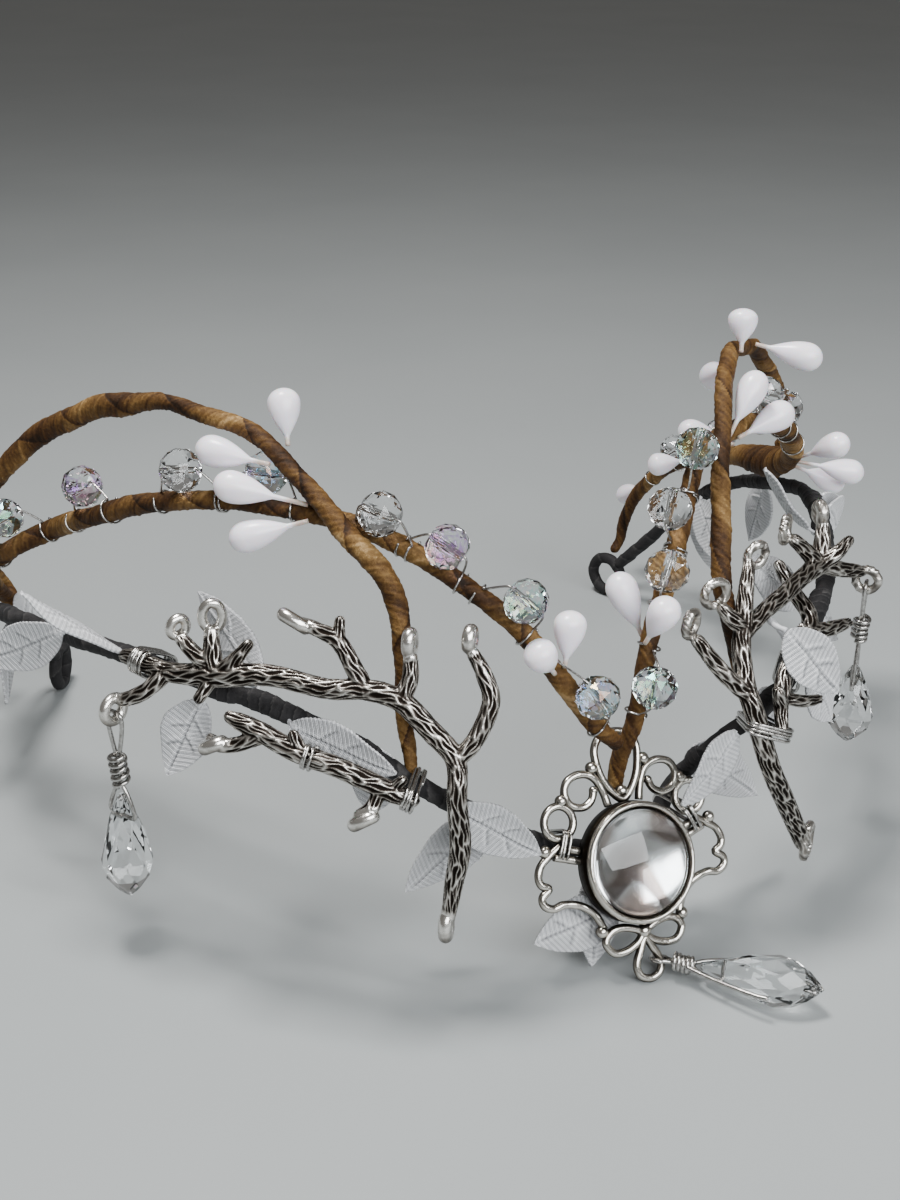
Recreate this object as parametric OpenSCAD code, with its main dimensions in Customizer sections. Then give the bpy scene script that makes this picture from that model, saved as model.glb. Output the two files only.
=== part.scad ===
// Elf tiara: a horseshoe of taped wire with a filigree medallion at the brow, twig castings,
// cloth leaves, glass beads on thin wire, white pips and glass drops.
// It stands on its two end loops and the medallion's lowest ring. The front faces -Y.

/* [Head form] */
// Half width of the form on the side that shows at the left from the front
half_left = 86; // [84:1:88]
// Half width on the other side
half_right = 82; // [80:1:84]
// Depth of the form from its widest line to the brow
half_front = 78; // [77:1:80]
// Depth of the form behind its widest line
half_back = 120; // [118:1:124]
// How much the form narrows for each millimetre of height above lean_from
lean_rate = 0.0065; // [0.006:0.0005:0.007]
// Height from which the form narrows
lean_from = 40; // [38:1:42]

/* [Wires] */
// Radius of the black taped head wire
base_r = 1.5; // [1.4:0.1:1.6]
// Radius of the thin silver wire that wraps and threads
thread_r = 0.25; // [0.2:0.05:0.3]
// Radius of the silver wire that carries the glass drops
drop_wire_r = 0.4; // [0.3:0.05:0.45]
// Inner radius of an end loop
loop_bore_r = 3; // [2.8:0.1:3.2]

/* [Beads and pips] */
// Diameter of a glass bead across its belt
bead_d = 7.6; // [7.2:0.1:8]
// Length of a bead along its hole
bead_len = 6.4; // [6:0.2:6.6]
// Diameter of a bead's hole
bead_hole = 1.3; // [1.1:0.1:1.5]
// Length of a pip's white body
pip_len = 11.5; // [11:0.5:12]
// Largest diameter of a pip
pip_d = 5.4; // [5:0.1:5.6]

/* [Leaves] */
// Width of a cloth leaf
leaf_w = 9.2; // [8.6:0.2:9.6]
// Thickness of the cloth
cloth = 1; // [1:0.1:1.2]

/* [Medallion] */
// Radius of the glass cabochon
cabochon_r = 9.2; // [9:0.1:9.3]
// Height of the cabochon's dome above the tray's floor
cabochon_h = 5.6; // [5:0.2:6]
// Radius of the filigree wire
filigree_r = 0.7; // [0.6:0.05:0.8]
// Backward lean of the medallion in degrees
medallion_lean = 28; // [27:1:29]

/* [Glass drops] */
// Length of the left and centre glass drops
drop_len = 21; // [20:0.5:22]
// Largest diameter of a glass drop
drop_d = 9; // [8.6:0.2:9.4]
// Length of the right glass drop, which is a shorter stone
short_drop_len = 17; // [16:0.5:18]

/* [Hidden] */

tape_brown = "sienna";
tape_black = "#202022";
silver = "#b8b4ac";
glass = "#d8ecf2";
pearl = "#ece8f2";
cloth_grey = "#c9ccd2";

// The tables' heights count from this far below the surface that the tiara stands on
datum = 3.3;
// The middle of the finished tiara in the head form's own axes
mid = [-3.86, -17.27];

// Head form: angle round the head from the brow (left is negative), height, distance outside the form
function lean(z) = z <= lean_from ? 1
    : 1 - lean_rate * pow(z - lean_from, 2) / (z - lean_from + 8);
function on_head(a, z, out = 0) =
    let (w = (a < 0 ? half_left : half_right) * lean(z) + out,
         l = (cos(a) > 0 ? half_front : half_back) * lean(z) + out)
    [w * sin(a) - mid[0], -l * cos(a) - mid[1], z - datum];

// Vectors
function unit(v) = v / norm(v);
function xyz(p) = [p[0], p[1], p[2]];
function angle_of(v) = [0, acos(v[2] / norm(v)), atan2(v[1], v[0])];

// Smooth curve through rows of numbers: n steps between two rows
function between(a, b, c, d, t) =
    0.5 * (2 * b + (c - a) * t + (2 * a - 5 * b + 4 * c - d) * t * t + (3 * b - a - 3 * c + d) * t * t * t);
function smooth(p, n) = concat(
    [for (i = [0 : len(p) - 2], k = [0 : n - 1])
        between(p[max(i - 1, 0)], p[i], p[i + 1], p[min(i + 2, len(p) - 1)], k / n)],
    [p[len(p) - 1]]);

// A route on the head from rows of angle, height, out and radius
function route(rows, n) =
    smooth([for (r = rows) concat(on_head(r[0], r[1], r[2]), [r[3]])], n);

// Ring directions carried along a path without twist
function tangent(p, i) = unit(xyz(p[min(i + 1, len(p) - 1)]) - xyz(p[max(i - 1, 0)]));
function across(v, t) = unit(v - (v * t) * t);
function start_side(t) = across(abs(t[2]) < 0.8 ? [0, 0, 1] : [1, 0, 0], t);
function sides_of(p, i = 0, last = undef, done = []) =
    i == len(p) ? done
    : let (t = tangent(p, i), s = across(is_undef(last) ? start_side(t) : last, t))
      sides_of(p, i + 1, s, concat(done, [s]));

// Round tube along rows of x, y, z and radius
module tube(p, sides = 8) {
    side = sides_of(p);
    rings = len(p);
    points = [for (i = [0 : rings - 1], k = [0 : sides - 1])
        let (t = tangent(p, i), s = side[i], q = cross(t, s), a = 360 * k / sides)
        xyz(p[i]) + p[i][3] * (s * cos(a) + q * sin(a))];
    walls = [for (i = [0 : rings - 2], k = [0 : sides - 1])
        let (m = (k + 1) % sides)
        [i * sides + k, (i + 1) * sides + k, (i + 1) * sides + m, i * sides + m]];
    polyhedron(points, concat(walls,
        [[for (k = [0 : sides - 1]) k]],
        [[for (k = [sides - 1 : -1 : 0]) (rings - 1) * sides + k]]), convexity = 6);
}

// The same radius along the whole path
function even(p, r) = [for (q = p) [q[0], q[1], q[2], r]];

// Closed ring of round wire through points
module ring_of(p, r, sides = 6) {
    n = len(p);
    points = [for (i = [0 : n - 1], k = [0 : sides - 1])
        let (t = unit(p[(i + 1) % n] - p[(i + n - 1) % n]),
             f = cross(p[1] - p[0], p[2] - p[1]),
             s = unit(f), q = cross(t, s), a = 360 * (k + 0.5) / sides)
        p[i] + r * (s * cos(a) + q * sin(a))];
    polyhedron(points, [for (i = [0 : n - 1], k = [0 : sides - 1])
        let (j = (i + 1) % n, m = (k + 1) % sides)
        [i * sides + k, j * sides + k, j * sides + m, i * sides + m]], convexity = 6);
}

// Stand an object that points along +Z so that it runs from p towards q
module towards(p, q) {
    translate(p) rotate(angle_of(q - p)) children();
}

// Sides of the tubes that stand for taped wires
wire_sides = 7;

// Head wire, rows of angle, height, out, radius
base_left_rows = [
    [-115, 23, 0, base_r], [-109, 33, 3, base_r], [-101, 43, 5, base_r], [-94, 48.5, 5, base_r],
    [-84, 51, 0, base_r], [-75, 53.5, 0, base_r], [-66, 55, 0, base_r], [-54, 55, 0, base_r],
    [-42, 53, 0, base_r], [-33, 49, 0, base_r], [-24, 42, 0, base_r], [-16, 34, -2, base_r],
    [-11, 27, -6.5, base_r]];
base_brow_rows = [[-5, 22.5, -9, base_r], [1, 21, -9.5, base_r], [7, 22.5, -9.4, base_r]];
base_right_rows = [
    [12, 29.5, -10.4, base_r], [15.6, 38.5, -5.2, base_r], [20, 44, -1, base_r], [26, 47, 0, base_r],
    [34, 51, 0, base_r], [46, 55, 0, base_r], [58, 57, 0, base_r], [70, 58, 0.5, base_r],
    [80, 57.5, 2, base_r], [88, 55, 2, base_r], [97, 50, 1, base_r], [104, 42, 0, base_r],
    [109, 33, 0, base_r], [113, 24, 0, base_r]];
// End loops: upright rings in line with the wire, their lowest points on the surface
loop_r = loop_bore_r + base_r;
loop_angle = [-121.4, 120];
loop_gap = 0.3;
wrap_gap = 0.4;
function loop_centre(k) = on_head(loop_angle[k], datum + loop_r + base_r, -1);
function loop_joint(k) =
    let (row = k == 0 ? base_left_rows[0] : base_right_rows[len(base_right_rows) - 1],
         from = on_head(row[0], row[1], row[2]), c = loop_centre(k),
         end = c + unit(from - c) * (loop_r + base_r + loop_gap))
    [end[0], end[1], end[2], base_r];
base_path = concat([loop_joint(0)], route(concat(base_left_rows, base_brow_rows, base_right_rows), 2),
    [loop_joint(1)]);

module base_wire() {
    color(tape_black) tube(base_path, wire_sides);
}

module end_loop(k) {
    way = xyz(loop_joint(k)) - loop_centre(k);
    color(tape_black) translate(loop_centre(k)) rotate([90, 0, atan2(way[1], way[0])])
        rotate_extrude($fn = 64) translate([loop_r, 0]) circle(base_r, $fn = 24);
}

// Arches, rows of angle, height, out, radius
arch_left_rows = [
    [-26.5, 48.8, 0, 1.1], [-27.3, 54, 0, 1.3], [-27.8, 62, 0, 1.6], [-28.6, 69, 0.4, 1.8],
    [-31, 75, 1.8, 1.8], [-36.5, 81, 2.6, 1.7], [-45, 87.5, 1.4, 1.6], [-54.5, 93, 1.5, 1.5],
    [-66, 94.5, 2.5, 1.4], [-78, 94, 3, 1.5], [-87, 91.5, 6, 2.1], [-92, 89, 8.5, 1.9],
    [-97.5, 82, 13, 2.2], [-100, 74, 16, 1.8], [-104, 64, 16, 1.7], [-108, 54, 13, 1.7],
    [-112, 44, 9.5, 1.6], [-114.5, 36, 6.4, 1.4]];
arch_right_rows = [
    [20, 48, -2.6, 1.3], [18.6, 54.4, -1, 1.4], [18, 62.5, 0.3, 1.6], [18.4, 68.8, 1.2, 1.7],
    [23.2, 82, 1.8, 1.6], [32, 93.6, 1.5, 1.6], [40.5, 97.4, 0.3, 1.5], [49.5, 97.6, -1, 1.5],
    [58, 96.4, -0.6, 1.5], [69, 93.5, 2, 1.5], [76, 88, 3.5, 1.6], [81, 81, 5.5, 1.6],
    [85, 73, 6.5, 1.6], [87, 68, 6.5, 1.4]];

arch_left_path = route(arch_left_rows, 2);
arch_right_path = route(arch_right_rows, 2);
module arch_left() {
    color(tape_brown) tube(arch_left_path, wire_sides);
}
module arch_right() {
    color(tape_brown) tube(arch_right_path, wire_sides);
}

// Bead stems, rows of angle, height, out, radius
stem_left_rows = [
    [0.2, 43, -6.5, 1.3], [-3.4, 48, -4, 1.6], [-8.2, 57.5, -2, 1.6], [-14.3, 67.5, 0, 1.7],
    [-23.5, 75, -0.8, 1.6], [-32, 79.3, -2, 1.6], [-45, 81.8, -2, 1.6], [-60, 81.5, -0.5, 1.5],
    [-70, 79, 0, 1.6], [-80, 75, 0.5, 2], [-88, 70.5, 1.5, 1.7], [-95.5, 64.5, 2.5, 1.9],
    [-98.6, 57.5, 9, 1.9], [-104, 49, 9.5, 1.7], [-110, 40, 6.5, 1.6], [-116, 28, 4, 1.6],
    [-119.5, 20, 3, 1.4]];
stem_right_rows = [
    [1.8, 30, -11.5, 1.3], [2, 37.5, -10.5, 1.4], [2.5, 44.5, -7.5, 1.5], [3.4, 51, -5, 1.6],
    [4.3, 57.5, -2.5, 1.6], [6.3, 64, -1, 1.6], [12.8, 74, -1, 1.7], [20.8, 82.2, -2.5, 1.6],
    [27.4, 85.6, -3.3, 1.5], [37, 86.4, -2.8, 1.6], [48, 85, -1.4, 1.7], [61, 80, 0.5, 1.8],
    [70, 74, 1.5, 1.9], [79, 66.5, 2, 2.1], [85.5, 62.5, 1, 3.3], [90, 60.5, 0, 3.5], [96, 58, -1, 2],
    [104, 51.5, 0, 1.6], [111, 44, 1.5, 1.6], [116.5, 34, 3, 1.6], [119, 24, 3.5, 1.5],
    [119.5, 18, 3, 1.3]];
stem_left_path = route(stem_left_rows, 2);
stem_right_path = route(stem_right_rows, 2);

module stem_left() {
    color(tape_brown) tube(stem_left_path, wire_sides);
}
module stem_right() {
    color(tape_brown) tube(stem_right_path, wire_sides);
}

// Where a point lies along a path, counted in rows, and the place at such a count
function place(path, x) =
    let (i = min(floor(x), len(path) - 2)) xyz(path[i]) * (1 - x + i) + xyz(path[i + 1]) * (x - i);
function count_at(path, i, c) =
    let (a = xyz(path[i]), b = xyz(path[i + 1])) i + min(1, max(0, (c - a) * (b - a) / ((b - a) * (b - a))));
function nearest(path, c) =
    let (x = [for (i = [0 : len(path) - 2]) count_at(path, i, c)], d = [for (v = x) norm(place(path, v) - c)])
    x[search(min(d), d)[0]];
function radius_at(path, x) =
    let (i = min(floor(x), len(path) - 2)) path[i][3] * (1 - x + i) + path[i + 1][3] * (x - i);
function heading(path, x) =
    let (i = min(floor(x), len(path) - 2)) unit(xyz(path[i + 1]) - xyz(path[i]));
// The point at a set clearance from a path's surface, towards a point
function seated(path, c, clear) =
    let (x = nearest(path, c), foot = place(path, x)) foot + unit(c - foot) * (radius_at(path, x) + clear);
gap = 0.3;

// Beads, rows of angle, height, out, and how far along the stem the thread's two turns lie. The
// bead's middle then sits a gap off the stem
beads_left = [
    [-4.6, 56.5, 4.5, 6.8, 9.6], [-13.2, 71.5, 4.5, 4.6, 6], [-22.7, 79.9, 4, 4.6, 6.6],
    [-32, 84, 3, 6, 4.4], [-53.5, 86.8, -3, 6.8, 6.8], [-65.5, 85.5, 3.5, 6.8, 6.8],
    [-89, 75.5, 4.5, 6.8, 6.8], [-98, 65, 12, 6.8, 6.8]];
beads_right = [
    [2.6, 55.5, 4, 6.8, 5], [7, 73.2, 4.6, 4.6, 5], [10.6, 82.2, 2.6, 4.6, 6],
    [20, 90, 3, 6, 4.4], [58.5, 87, 0, 6.8, 5], [71, 80.8, 3, 4.6, 6.8],
    [102, 58.5, 5, 6.8, 6.8], [112.5, 47, 8, 6.8, 6.8]];
function bead_point(row, path) = seated(path, on_head(row[0], row[1], row[2]), bead_d / 2 + gap);

module bead(c, t) {
    end_r = bead_d * 0.24;
    mid_r = bead_d * 0.43;
    color(glass) towards(c, c + t) rotate_extrude($fn = 48)
        polygon([
            [bead_hole / 2, -bead_len / 2], [end_r, -bead_len / 2], [mid_r, -bead_len * 0.28],
            [bead_d / 2, -bead_len * 0.08], [bead_d / 2, bead_len * 0.08],
            [mid_r, bead_len * 0.28], [end_r, bead_len / 2], [bead_hole / 2, bead_len / 2]]);
}
module bead_on(row, path) {
    c = bead_point(row, path);
    bead(c, heading(path, nearest(path, c)));
}

// Thread wire of one bead: a turn round the stem, through the bead, and a turn round the stem again
turn_steps = 7;
function wrap(path, x, e, from, shift) =
    let (t = heading(path, x), f = cross(t, across(e, t)), r = radius_at(path, x) + thread_r + wrap_gap)
    [for (k = [0 : turn_steps - 1])
        let (a = from + 360 * k / turn_steps)
        place(path, x) + t * (shift + 0.12 * k) + r * (across(e, t) * cos(a) + f * sin(a))];
function bead_thread(row, path) =
    let (c = bead_point(row, path), n = nearest(path, c), p = place(path, n), t = heading(path, n),
         e = unit(c - p), reach = bead_len / 2 + 0.6,
         b = nearest(path, p - t * row[3]), a = nearest(path, p + t * row[4]))
    concat(wrap(path, b, e, -315, -0.4), [c - t * reach], [c], [c + t * reach], wrap(path, a, e, 0, -0.4));
module bead_wire(rows, path) {
    color(silver) for (row = rows)
        tube(even(bead_thread(row, path), thread_r), 4);
}

// Pips: rows of foot angle, height, out, then tip angle, height, out
pip_foot_r = 0.45;
module pip(foot, tip) {
    r = pip_d / 2;
    reach = norm(tip - foot);
    back = max(reach - pip_len, 0.4);
    color(pearl) towards(foot, tip) rotate_extrude($fn = 32)
        polygon(concat([[0, 0], [pip_foot_r, 0.1], [pip_foot_r, back]],
            [for (u = [0.15 : 0.15 : 0.6])
                [pip_foot_r + (r - pip_foot_r) * pow(sin(90 * u / 0.7), 1.4), back + (reach - back) * u]],
            [for (a = [0 : 18 : 72])
                [r * cos(a), back + (reach - back) * (0.7 + 0.3 * sin(a))]],
            [[0, reach]]));
}
module pips(rows, path) {
    for (p = rows)
        pip(seated(path, on_head(p[0], p[1], p[2]), pip_foot_r + gap), on_head(p[3], p[4], p[5]));
}
pips_left_brow_rows = [[-7.4, 60.5, 1.6, -6.6, 69, 2.5], [-9.4, 59.4, 2, -12.6, 66.4, 8]];
pips_left_stem_rows = [[-43.5, 84.4, 1, -57.2, 86.6, 6], [-43, 81, 3, -53.5, 77.5, 3]];
pips_left_arch_rows = [[-48.5, 92.2, 1.6, -52, 100.5, 1.5], [-50.5, 89.4, 3, -63, 90.5, 5]];
pips_left_rear_rows = [[-104, 51, 13, -101, 56, 22], [-115, 32, 7.5, -118, 40, 14]];
pips_right_brow_rows = [[3.2, 61.4, 0.4, 4.9, 70.5, 8.6], [5, 60.5, -4, 3, 70.5, -5]];
pips_right_arch_rows = [[47, 98.6, 2, 50, 106, 5], [61, 96.6, 3, 60, 94, 14], [46, 95, -3, 60, 89.5, -9]];
pips_right_stem_rows = [[33, 87.6, 1, 42.5, 96.5, 5.5], [36, 85.2, 1, 46.5, 89, 7]];
pips_right_side_rows = [[83, 64, 7, 75, 71, 14], [85, 62, 6, 83, 58.5, 18.5], [87, 60, 6, 86.5, 54, 15]];
pips_right_rear_rows = [[95, 62, -1, 99.3, 65, -9.7], [106, 50, -2, 108.7, 49, -10.6],
    [109, 48, 5, 104, 55, 12], [117, 35, 7, 122, 26, 12]];

// A leaf: places along it and its half width there
leaf_stations = [[0, 0.25], [0.13, 0.66], [0.32, 0.97], [0.56, 0.96], [0.8, 0.62], [1, 0.1]];
leaf_bow = 0.4;
leaf_fold = 0.4;
function leaf_ring(p, q, n, k) =
    let (at = leaf_stations[k][0], side = cross(n, unit(q - p)) * leaf_w / 2 * leaf_stations[k][1],
         c = p + (q - p) * at + n * leaf_bow * sin(180 * at), edge = n * leaf_fold * leaf_stations[k][1])
    [c - side + edge, c, c + side + edge, c + side + edge + n * cloth, c + n * cloth, c - side + edge + n * cloth];
// A flat stem under a leaf's foot
stem_half = 0.5;
stem_thick = 0.8;
function stem_ring(c, t, n) =
    let (s = unit(cross(n, t)) * stem_half, low = n * stem_thick * 0.25, high = n * stem_thick * 0.75)
    [c - s + low, c, c + s + low, c + s + high, c + n * stem_thick, c - s + high];
function leaf_face(p, q, roll, inner) =
    let (t = unit(q - p), outward = across((inner ? -1 : 1) * (p + [mid[0], mid[1], -p[2]]), t))
    outward * cos(roll) + cross(t, outward) * sin(roll);
module leaf(p, q, n, stem = []) {
    rings = concat(stem, [for (k = [0 : len(leaf_stations) - 1]) leaf_ring(p, q, n, k)]);
    last = len(rings) - 1;
    polyhedron([for (r = rings) each r], concat(
        [for (k = [0 : last - 1], j = [0 : 5])
            let (m = (j + 1) % 6)
            [k * 6 + j, (k + 1) * 6 + j, (k + 1) * 6 + m, k * 6 + m]],
        [[0, 1, 2, 3, 4, 5]], [[for (j = [5 : -1 : 0]) last * 6 + j]]), convexity = 4);
}
// A leaf on the head wire: its stem lies along the wire, then bends into the leaf
stalk_r = 0.5;
stem_clear = 0.85;
foot_at = 0.8;
module leaf_on_wire(row) {
    c = seated(base_path, on_head(row[0], row[1], row[2]), stem_clear);
    q = on_head(row[3], row[4], row[5]);
    along = heading(base_path, nearest(base_path, c)) * row[7];
    way = unit(q - c);
    n = leaf_face(c, q, row[6], row[2] < 0);
    leaf(c + way * foot_at, q, n, [stem_ring(c + along, -along, n), stem_ring(c, way - unit(along), n)]);
}
// Leaves on the wire: foot angle, height, out, tip angle, height, out, roll in degrees, and how far
// the stem runs along the wire
leaves_left_rows = [
    [-16, 34.5, -5, -27, 19.5, -3.5, 0, 4], [-22, 41, 1.9, -11.8, 30.4, 2, 0, 4],
    [-30, 48.6, -3, -31, 35, -3.5, 0, -4], [-40.6, 52.6, 1.4, -27.6, 46.3, 2.2, 0, -4],
    [-46, 55, -3, -60.5, 66, -3.5, 0, 4], [-52, 53.1, 2, -54.8, 40, 2.2, 0, 4],
    [-65, 56.4, 1.8, -75, 67.3, 18.8, -50, -4], [-80, 54, 2, -87.5, 46.2, 11, -20, 4],
    [-97, 47, 2.6, -104, 37, -4, 0, 4], [-108, 34.6, 4.6, -99.5, 44, 8.6, 0, 4],
    [-111, 30.6, 2.8, -105.6, 16.4, 5.4, 0, 4]];
leaves_right_rows = [
    [15.2, 37.4, -12, 28, 20, -6, 0, -1],
    [21.8, 45, -3, 30.6, 33, -4.4, 0, 3], [28.4, 48.8, 2, 33.6, 36.2, 2.4, 0, 4],
    [40, 54, -3, 31, 66, -4, 0, 4], [47, 54, -1.6, 50, 41.5, -1.4, 0, 4],
    [62, 58, -3, 68, 69, -6, 0, 4], [70, 59, 2, 84, 46.3, 8, 30, -4],
    [77, 58.6, 3.6, 85, 43.2, 6.6, 60, -4], [95, 51.4, 2.9, 98, 33, 2.6, 0, -4],
    [104, 41, -3, 98, 29, -4.4, 0, -3], [108, 34.4, 2.4, 103, 19, 5, 0, -4]];
// Two right leaves stand off the wire on stalks of their own, rows of angle, height, out: one goes
// to the medallion, one runs up behind a casting and folds down over it. Then the tip, and the roll
stalked_leaves = [
    [[[15.4, 38.6, -2.9], [14.7, 41, -1.2], [14, 44, 1]], [4.6, 35.2, 3], 0],
    [[[27.5, 48.4, 2.6], [27.8, 52, 1.2], [26.4, 57, 1], [23.4, 59.8, 2.8], [22, 60.2, 5.6], [22, 60, 8]],
        [25.6, 48.6, 10.8], 20]];
module stalked_leaf(row) {
    tube(route([for (r = row[0]) [r[0], r[1], r[2], stalk_r]], 2), 4);
    foot = row[0][len(row[0]) - 1];
    p = on_head(foot[0], foot[1], foot[2]);
    q = on_head(row[1][0], row[1][1], row[1][2]);
    leaf(p, q, leaf_face(p, q, row[2], false));
}
// Two leaves on stalks hang from the head wire behind the medallion
low_leaves = [
    [[[1.4, 19.8, -8.4], [1.1, 18.2, -6.4], [-0.4, 15.6, -2.8], [-1.8, 14.2, -1]], [-12, 10.7, 0.6], 28],
    [[[-1, 19.75, -8.7], [-1.3, 18.4, -8.3], [-1.6, 17, -7.9]], [-5.3, 4.8, 1.8], 0]];
module leaves_left() {
    color(cloth_grey) union() {
        for (r = leaves_left_rows) leaf_on_wire(r);
        for (r = low_leaves) stalked_leaf(r);
    }
}
module leaves_right() {
    color(cloth_grey) union() {
        for (r = leaves_right_rows) leaf_on_wire(r);
        for (r = stalked_leaves) stalked_leaf(r);
    }
}

// Twig castings: branches as rows of angle, height, out, radius
twig_left_upper_rows = [
    [[-22, 21.2, 5.4, 1.2], [-21.4, 28, 5.2, 1.6], [-20.8, 35, 5.2, 1.8], [-21.2, 43, 5.5, 1.7],
     [-21.4, 49.5, 5.2, 1.7], [-24.2, 54, 5, 1.8], [-27.6, 58.2, 5, 1.8], [-31.6, 59.6, 5, 1.8],
     [-36, 59.3, 5, 1.7], [-43, 60.2, 5, 1.8], [-50, 58.8, 5.2, 2], [-56.5, 57.5, 5.2, 1.7],
     [-61.5, 57.8, 5.2, 1.6], [-63.5, 57.6, 5.2, 1.2]],
    [[-21.4, 49.5, 5.2, 1.5], [-19.3, 52.6, 5.5, 1.5], [-17.6, 58, 6, 1.5], [-18.2, 62, 6, 1.4],
     [-19.4, 65, 5.5, 1.1]],
    [[-27.6, 58.2, 5, 1.6], [-26.6, 61.2, 5.2, 1.4], [-26.6, 64.5, 5.5, 1.2]],
    [[-31.6, 59.6, 5, 1.7], [-33, 62.3, 5, 1.5], [-35.2, 66.4, 5.5, 1.4], [-38.2, 68.2, 6, 1.2],
     [-40.2, 68.4, 5.1, 1]],
    [[-35.2, 66.4, 5.5, 1.1], [-35.3, 69.6, 6, 0.9]],
    [[-50, 58.8, 5.2, 1.7], [-50.8, 63, 6, 1.5], [-51.2, 65.5, 6.5, 1.2]],
    [[-50.4, 60, 5.2, 1.4], [-52.2, 61.5, 6.5, 1.4], [-54.6, 63.5, 7, 1.2]],
    [[-50, 58.8, 5.2, 1.4], [-47.8, 61.5, 6, 1.3], [-46, 64.8, 6.5, 0.9]],
    [[-50, 58.8, 5.2, 1.3], [-50.8, 55.6, 6.5, 1]],
    [[-56.5, 57.5, 5.2, 1.5], [-58, 54.6, 6.8, 1.4], [-60, 52.8, 7.3, 1.3], [-61.2, 52.4, 7.5, 1]]];
twig_left_lower_rows = [
    [[-46, 54.6, 8, 1.1], [-44.6, 53.8, 7.4, 1.5], [-42, 52.4, 6.8, 1.7], [-38, 50.3, 6.7, 1.7],
     [-33.5, 48.6, 6.5, 1.7], [-28.1, 45.2, 6, 1.7], [-25.8, 44, 6, 1.3]],
    [[-42, 52.4, 6.8, 1.4], [-44.5, 50.6, 7, 1.3], [-46.6, 49.8, 7.2, 1.2], [-48.2, 50.1, 6.6, 1]],
    [[-37.6, 50.2, 6.6, 1.3], [-38.6, 53.2, 7.6, 1]],
    [[-28.1, 45.2, 5.8, 1.2], [-26.8, 47.4, 7, 0.9]],
    [[-29, 45.7, 5.8, 1.2], [-29.8, 43, 6.8, 1.2], [-31, 41.6, 7, 1.1]]];
twig_right_upper_rows = [
    [[25, 17, 6, 1.6], [20.8, 28, 5.4, 1.8], [17, 38, 5.2, 1.8], [15.4, 48, 4.8, 1.8],
     [15.2, 52, 4.5, 1.7], [15.9, 57.5, 4.2, 1.7], [17.4, 61, 4, 1.6]],
    [[15.2, 51, 4.6, 1.6], [13, 54.4, 4.2, 1.5], [11.4, 57.4, 4, 1.4], [9.6, 61.4, 4, 1.2]],
    [[17.4, 61, 4, 1.6], [15.8, 63.2, 4, 1.4], [14.8, 65, 4, 1.1]],
    [[17.4, 61, 4, 1.6], [19.2, 65, 4, 1.5], [21.2, 68.6, 4, 1.2], [22.4, 69.6, 3.4, 1]],
    [[16.8, 60, 4.1, 1.5], [21.9, 61.9, 4, 1.5], [28, 62.9, 4, 1.6], [33.3, 63.4, 4, 1.6],
     [38.8, 63.2, 4.2, 2]],
    [[38.8, 63.2, 4.2, 1.7], [36.4, 66.6, 4.2, 1.5], [34.4, 69.4, 4, 1.2]],
    [[38.8, 63.2, 4.2, 1.7], [40.6, 66.6, 5.4, 1.6], [42, 69.6, 6.2, 1.2]],
    [[38.8, 63.2, 4.2, 1.6], [39.8, 65, 7.4, 1.4], [42.6, 66.8, 9.8, 1]],
    [[38.8, 63.2, 4.2, 1.7], [42.6, 60.8, 6.2, 1.5], [45.6, 59.2, 7.6, 1.3], [46.9, 58.5, 8, 1]]];
twig_right_lower_rows = [
    [[18, 44.4, 6.8, 1.1], [19.2, 49.2, 6.2, 1.4], [21.9, 52.2, 5.4, 1.6], [25.7, 54.6, 5, 1.7],
     [28.8, 56, 5, 1.6], [31.4, 57.6, 4, 1.5], [33, 60, 1.2, 1.4], [34, 64, -0.8, 1.1]],
    [[18.9, 48.2, 6.4, 1.3], [18, 51.6, 7.8, 1.1]],
    [[19.3, 49.4, 6.2, 1.2], [22.4, 47.6, 7, 1.1], [25.2, 46.6, 7.2, 0.9]],
    [[28.8, 56, 5, 1.5], [33.4, 54.6, 6, 1.4], [38, 53.3, 6.4, 1]],
    [[27.4, 55.4, 5, 1.3], [26.4, 58, 6.4, 1]]];
// Curled tips: rows of angle, height, out, turn about the upright, turn down, outer length, width and
// turn about the tip's own length
tips_left_upper = [
    [-19.8, 67.2, 5.3, 70, 20, 5, 3.4, 0], [-26.8, 66.8, 5.6, 80, 0, 5.4, 3.4, 0],
    [-40.8, 69, 6.2, 182.5, 63, 6.4, 3.2, -58], [-51.4, 68, 7, 40, 0, 6.4, 4.2, 0],
    [-55.6, 65.4, 7.4, 60, 20, 4.8, 3.6, 0], [-22.2, 19.4, 5.6, 75, 0, 6, 3.4, 0]];
tips_left_lower = [
    [-47.6, 49.6, 7.2, 182.6, 120, 5.8, 3.2, -75], [-30.6, 40.8, 7, 182.3, 121, 5.8, 3.2, -65]];
tips_right_upper = [
    [9.2, 64.2, 4, 20, 15, 5.8, 4.6, 0], [14.4, 67.4, 3.8, -10, -10, 6, 5.6, 0],
    [24, 70.6, 4, -15, -30, 5.6, 5.2, 0], [33, 71.8, 4, 10, 20, 6, 5.4, 0],
    [42.3, 71.6, 6.4, 40, 0, 5, 3.4, 0], [25.6, 17, 6.4, 15, 20, 7.8, 5.4, 0]];
tip_r = 1.05;

// Oval ring of cast wire, upright with its hole along Y before it is turned
module tip_ring(row) {
    a = row[5] / 2 - tip_r;
    b = row[6] / 2 - tip_r * 0.6;
    translate(on_head(row[0], row[1], row[2]))
        rotate([0, 0, row[0] + row[3]]) rotate([0, row[4], 0]) rotate([0, 0, row[7]])
            ring_of([for (k = [0 : 8]) [b * cos(40 * k), 0, a * sin(40 * k)]], tip_r, 5);
}
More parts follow.
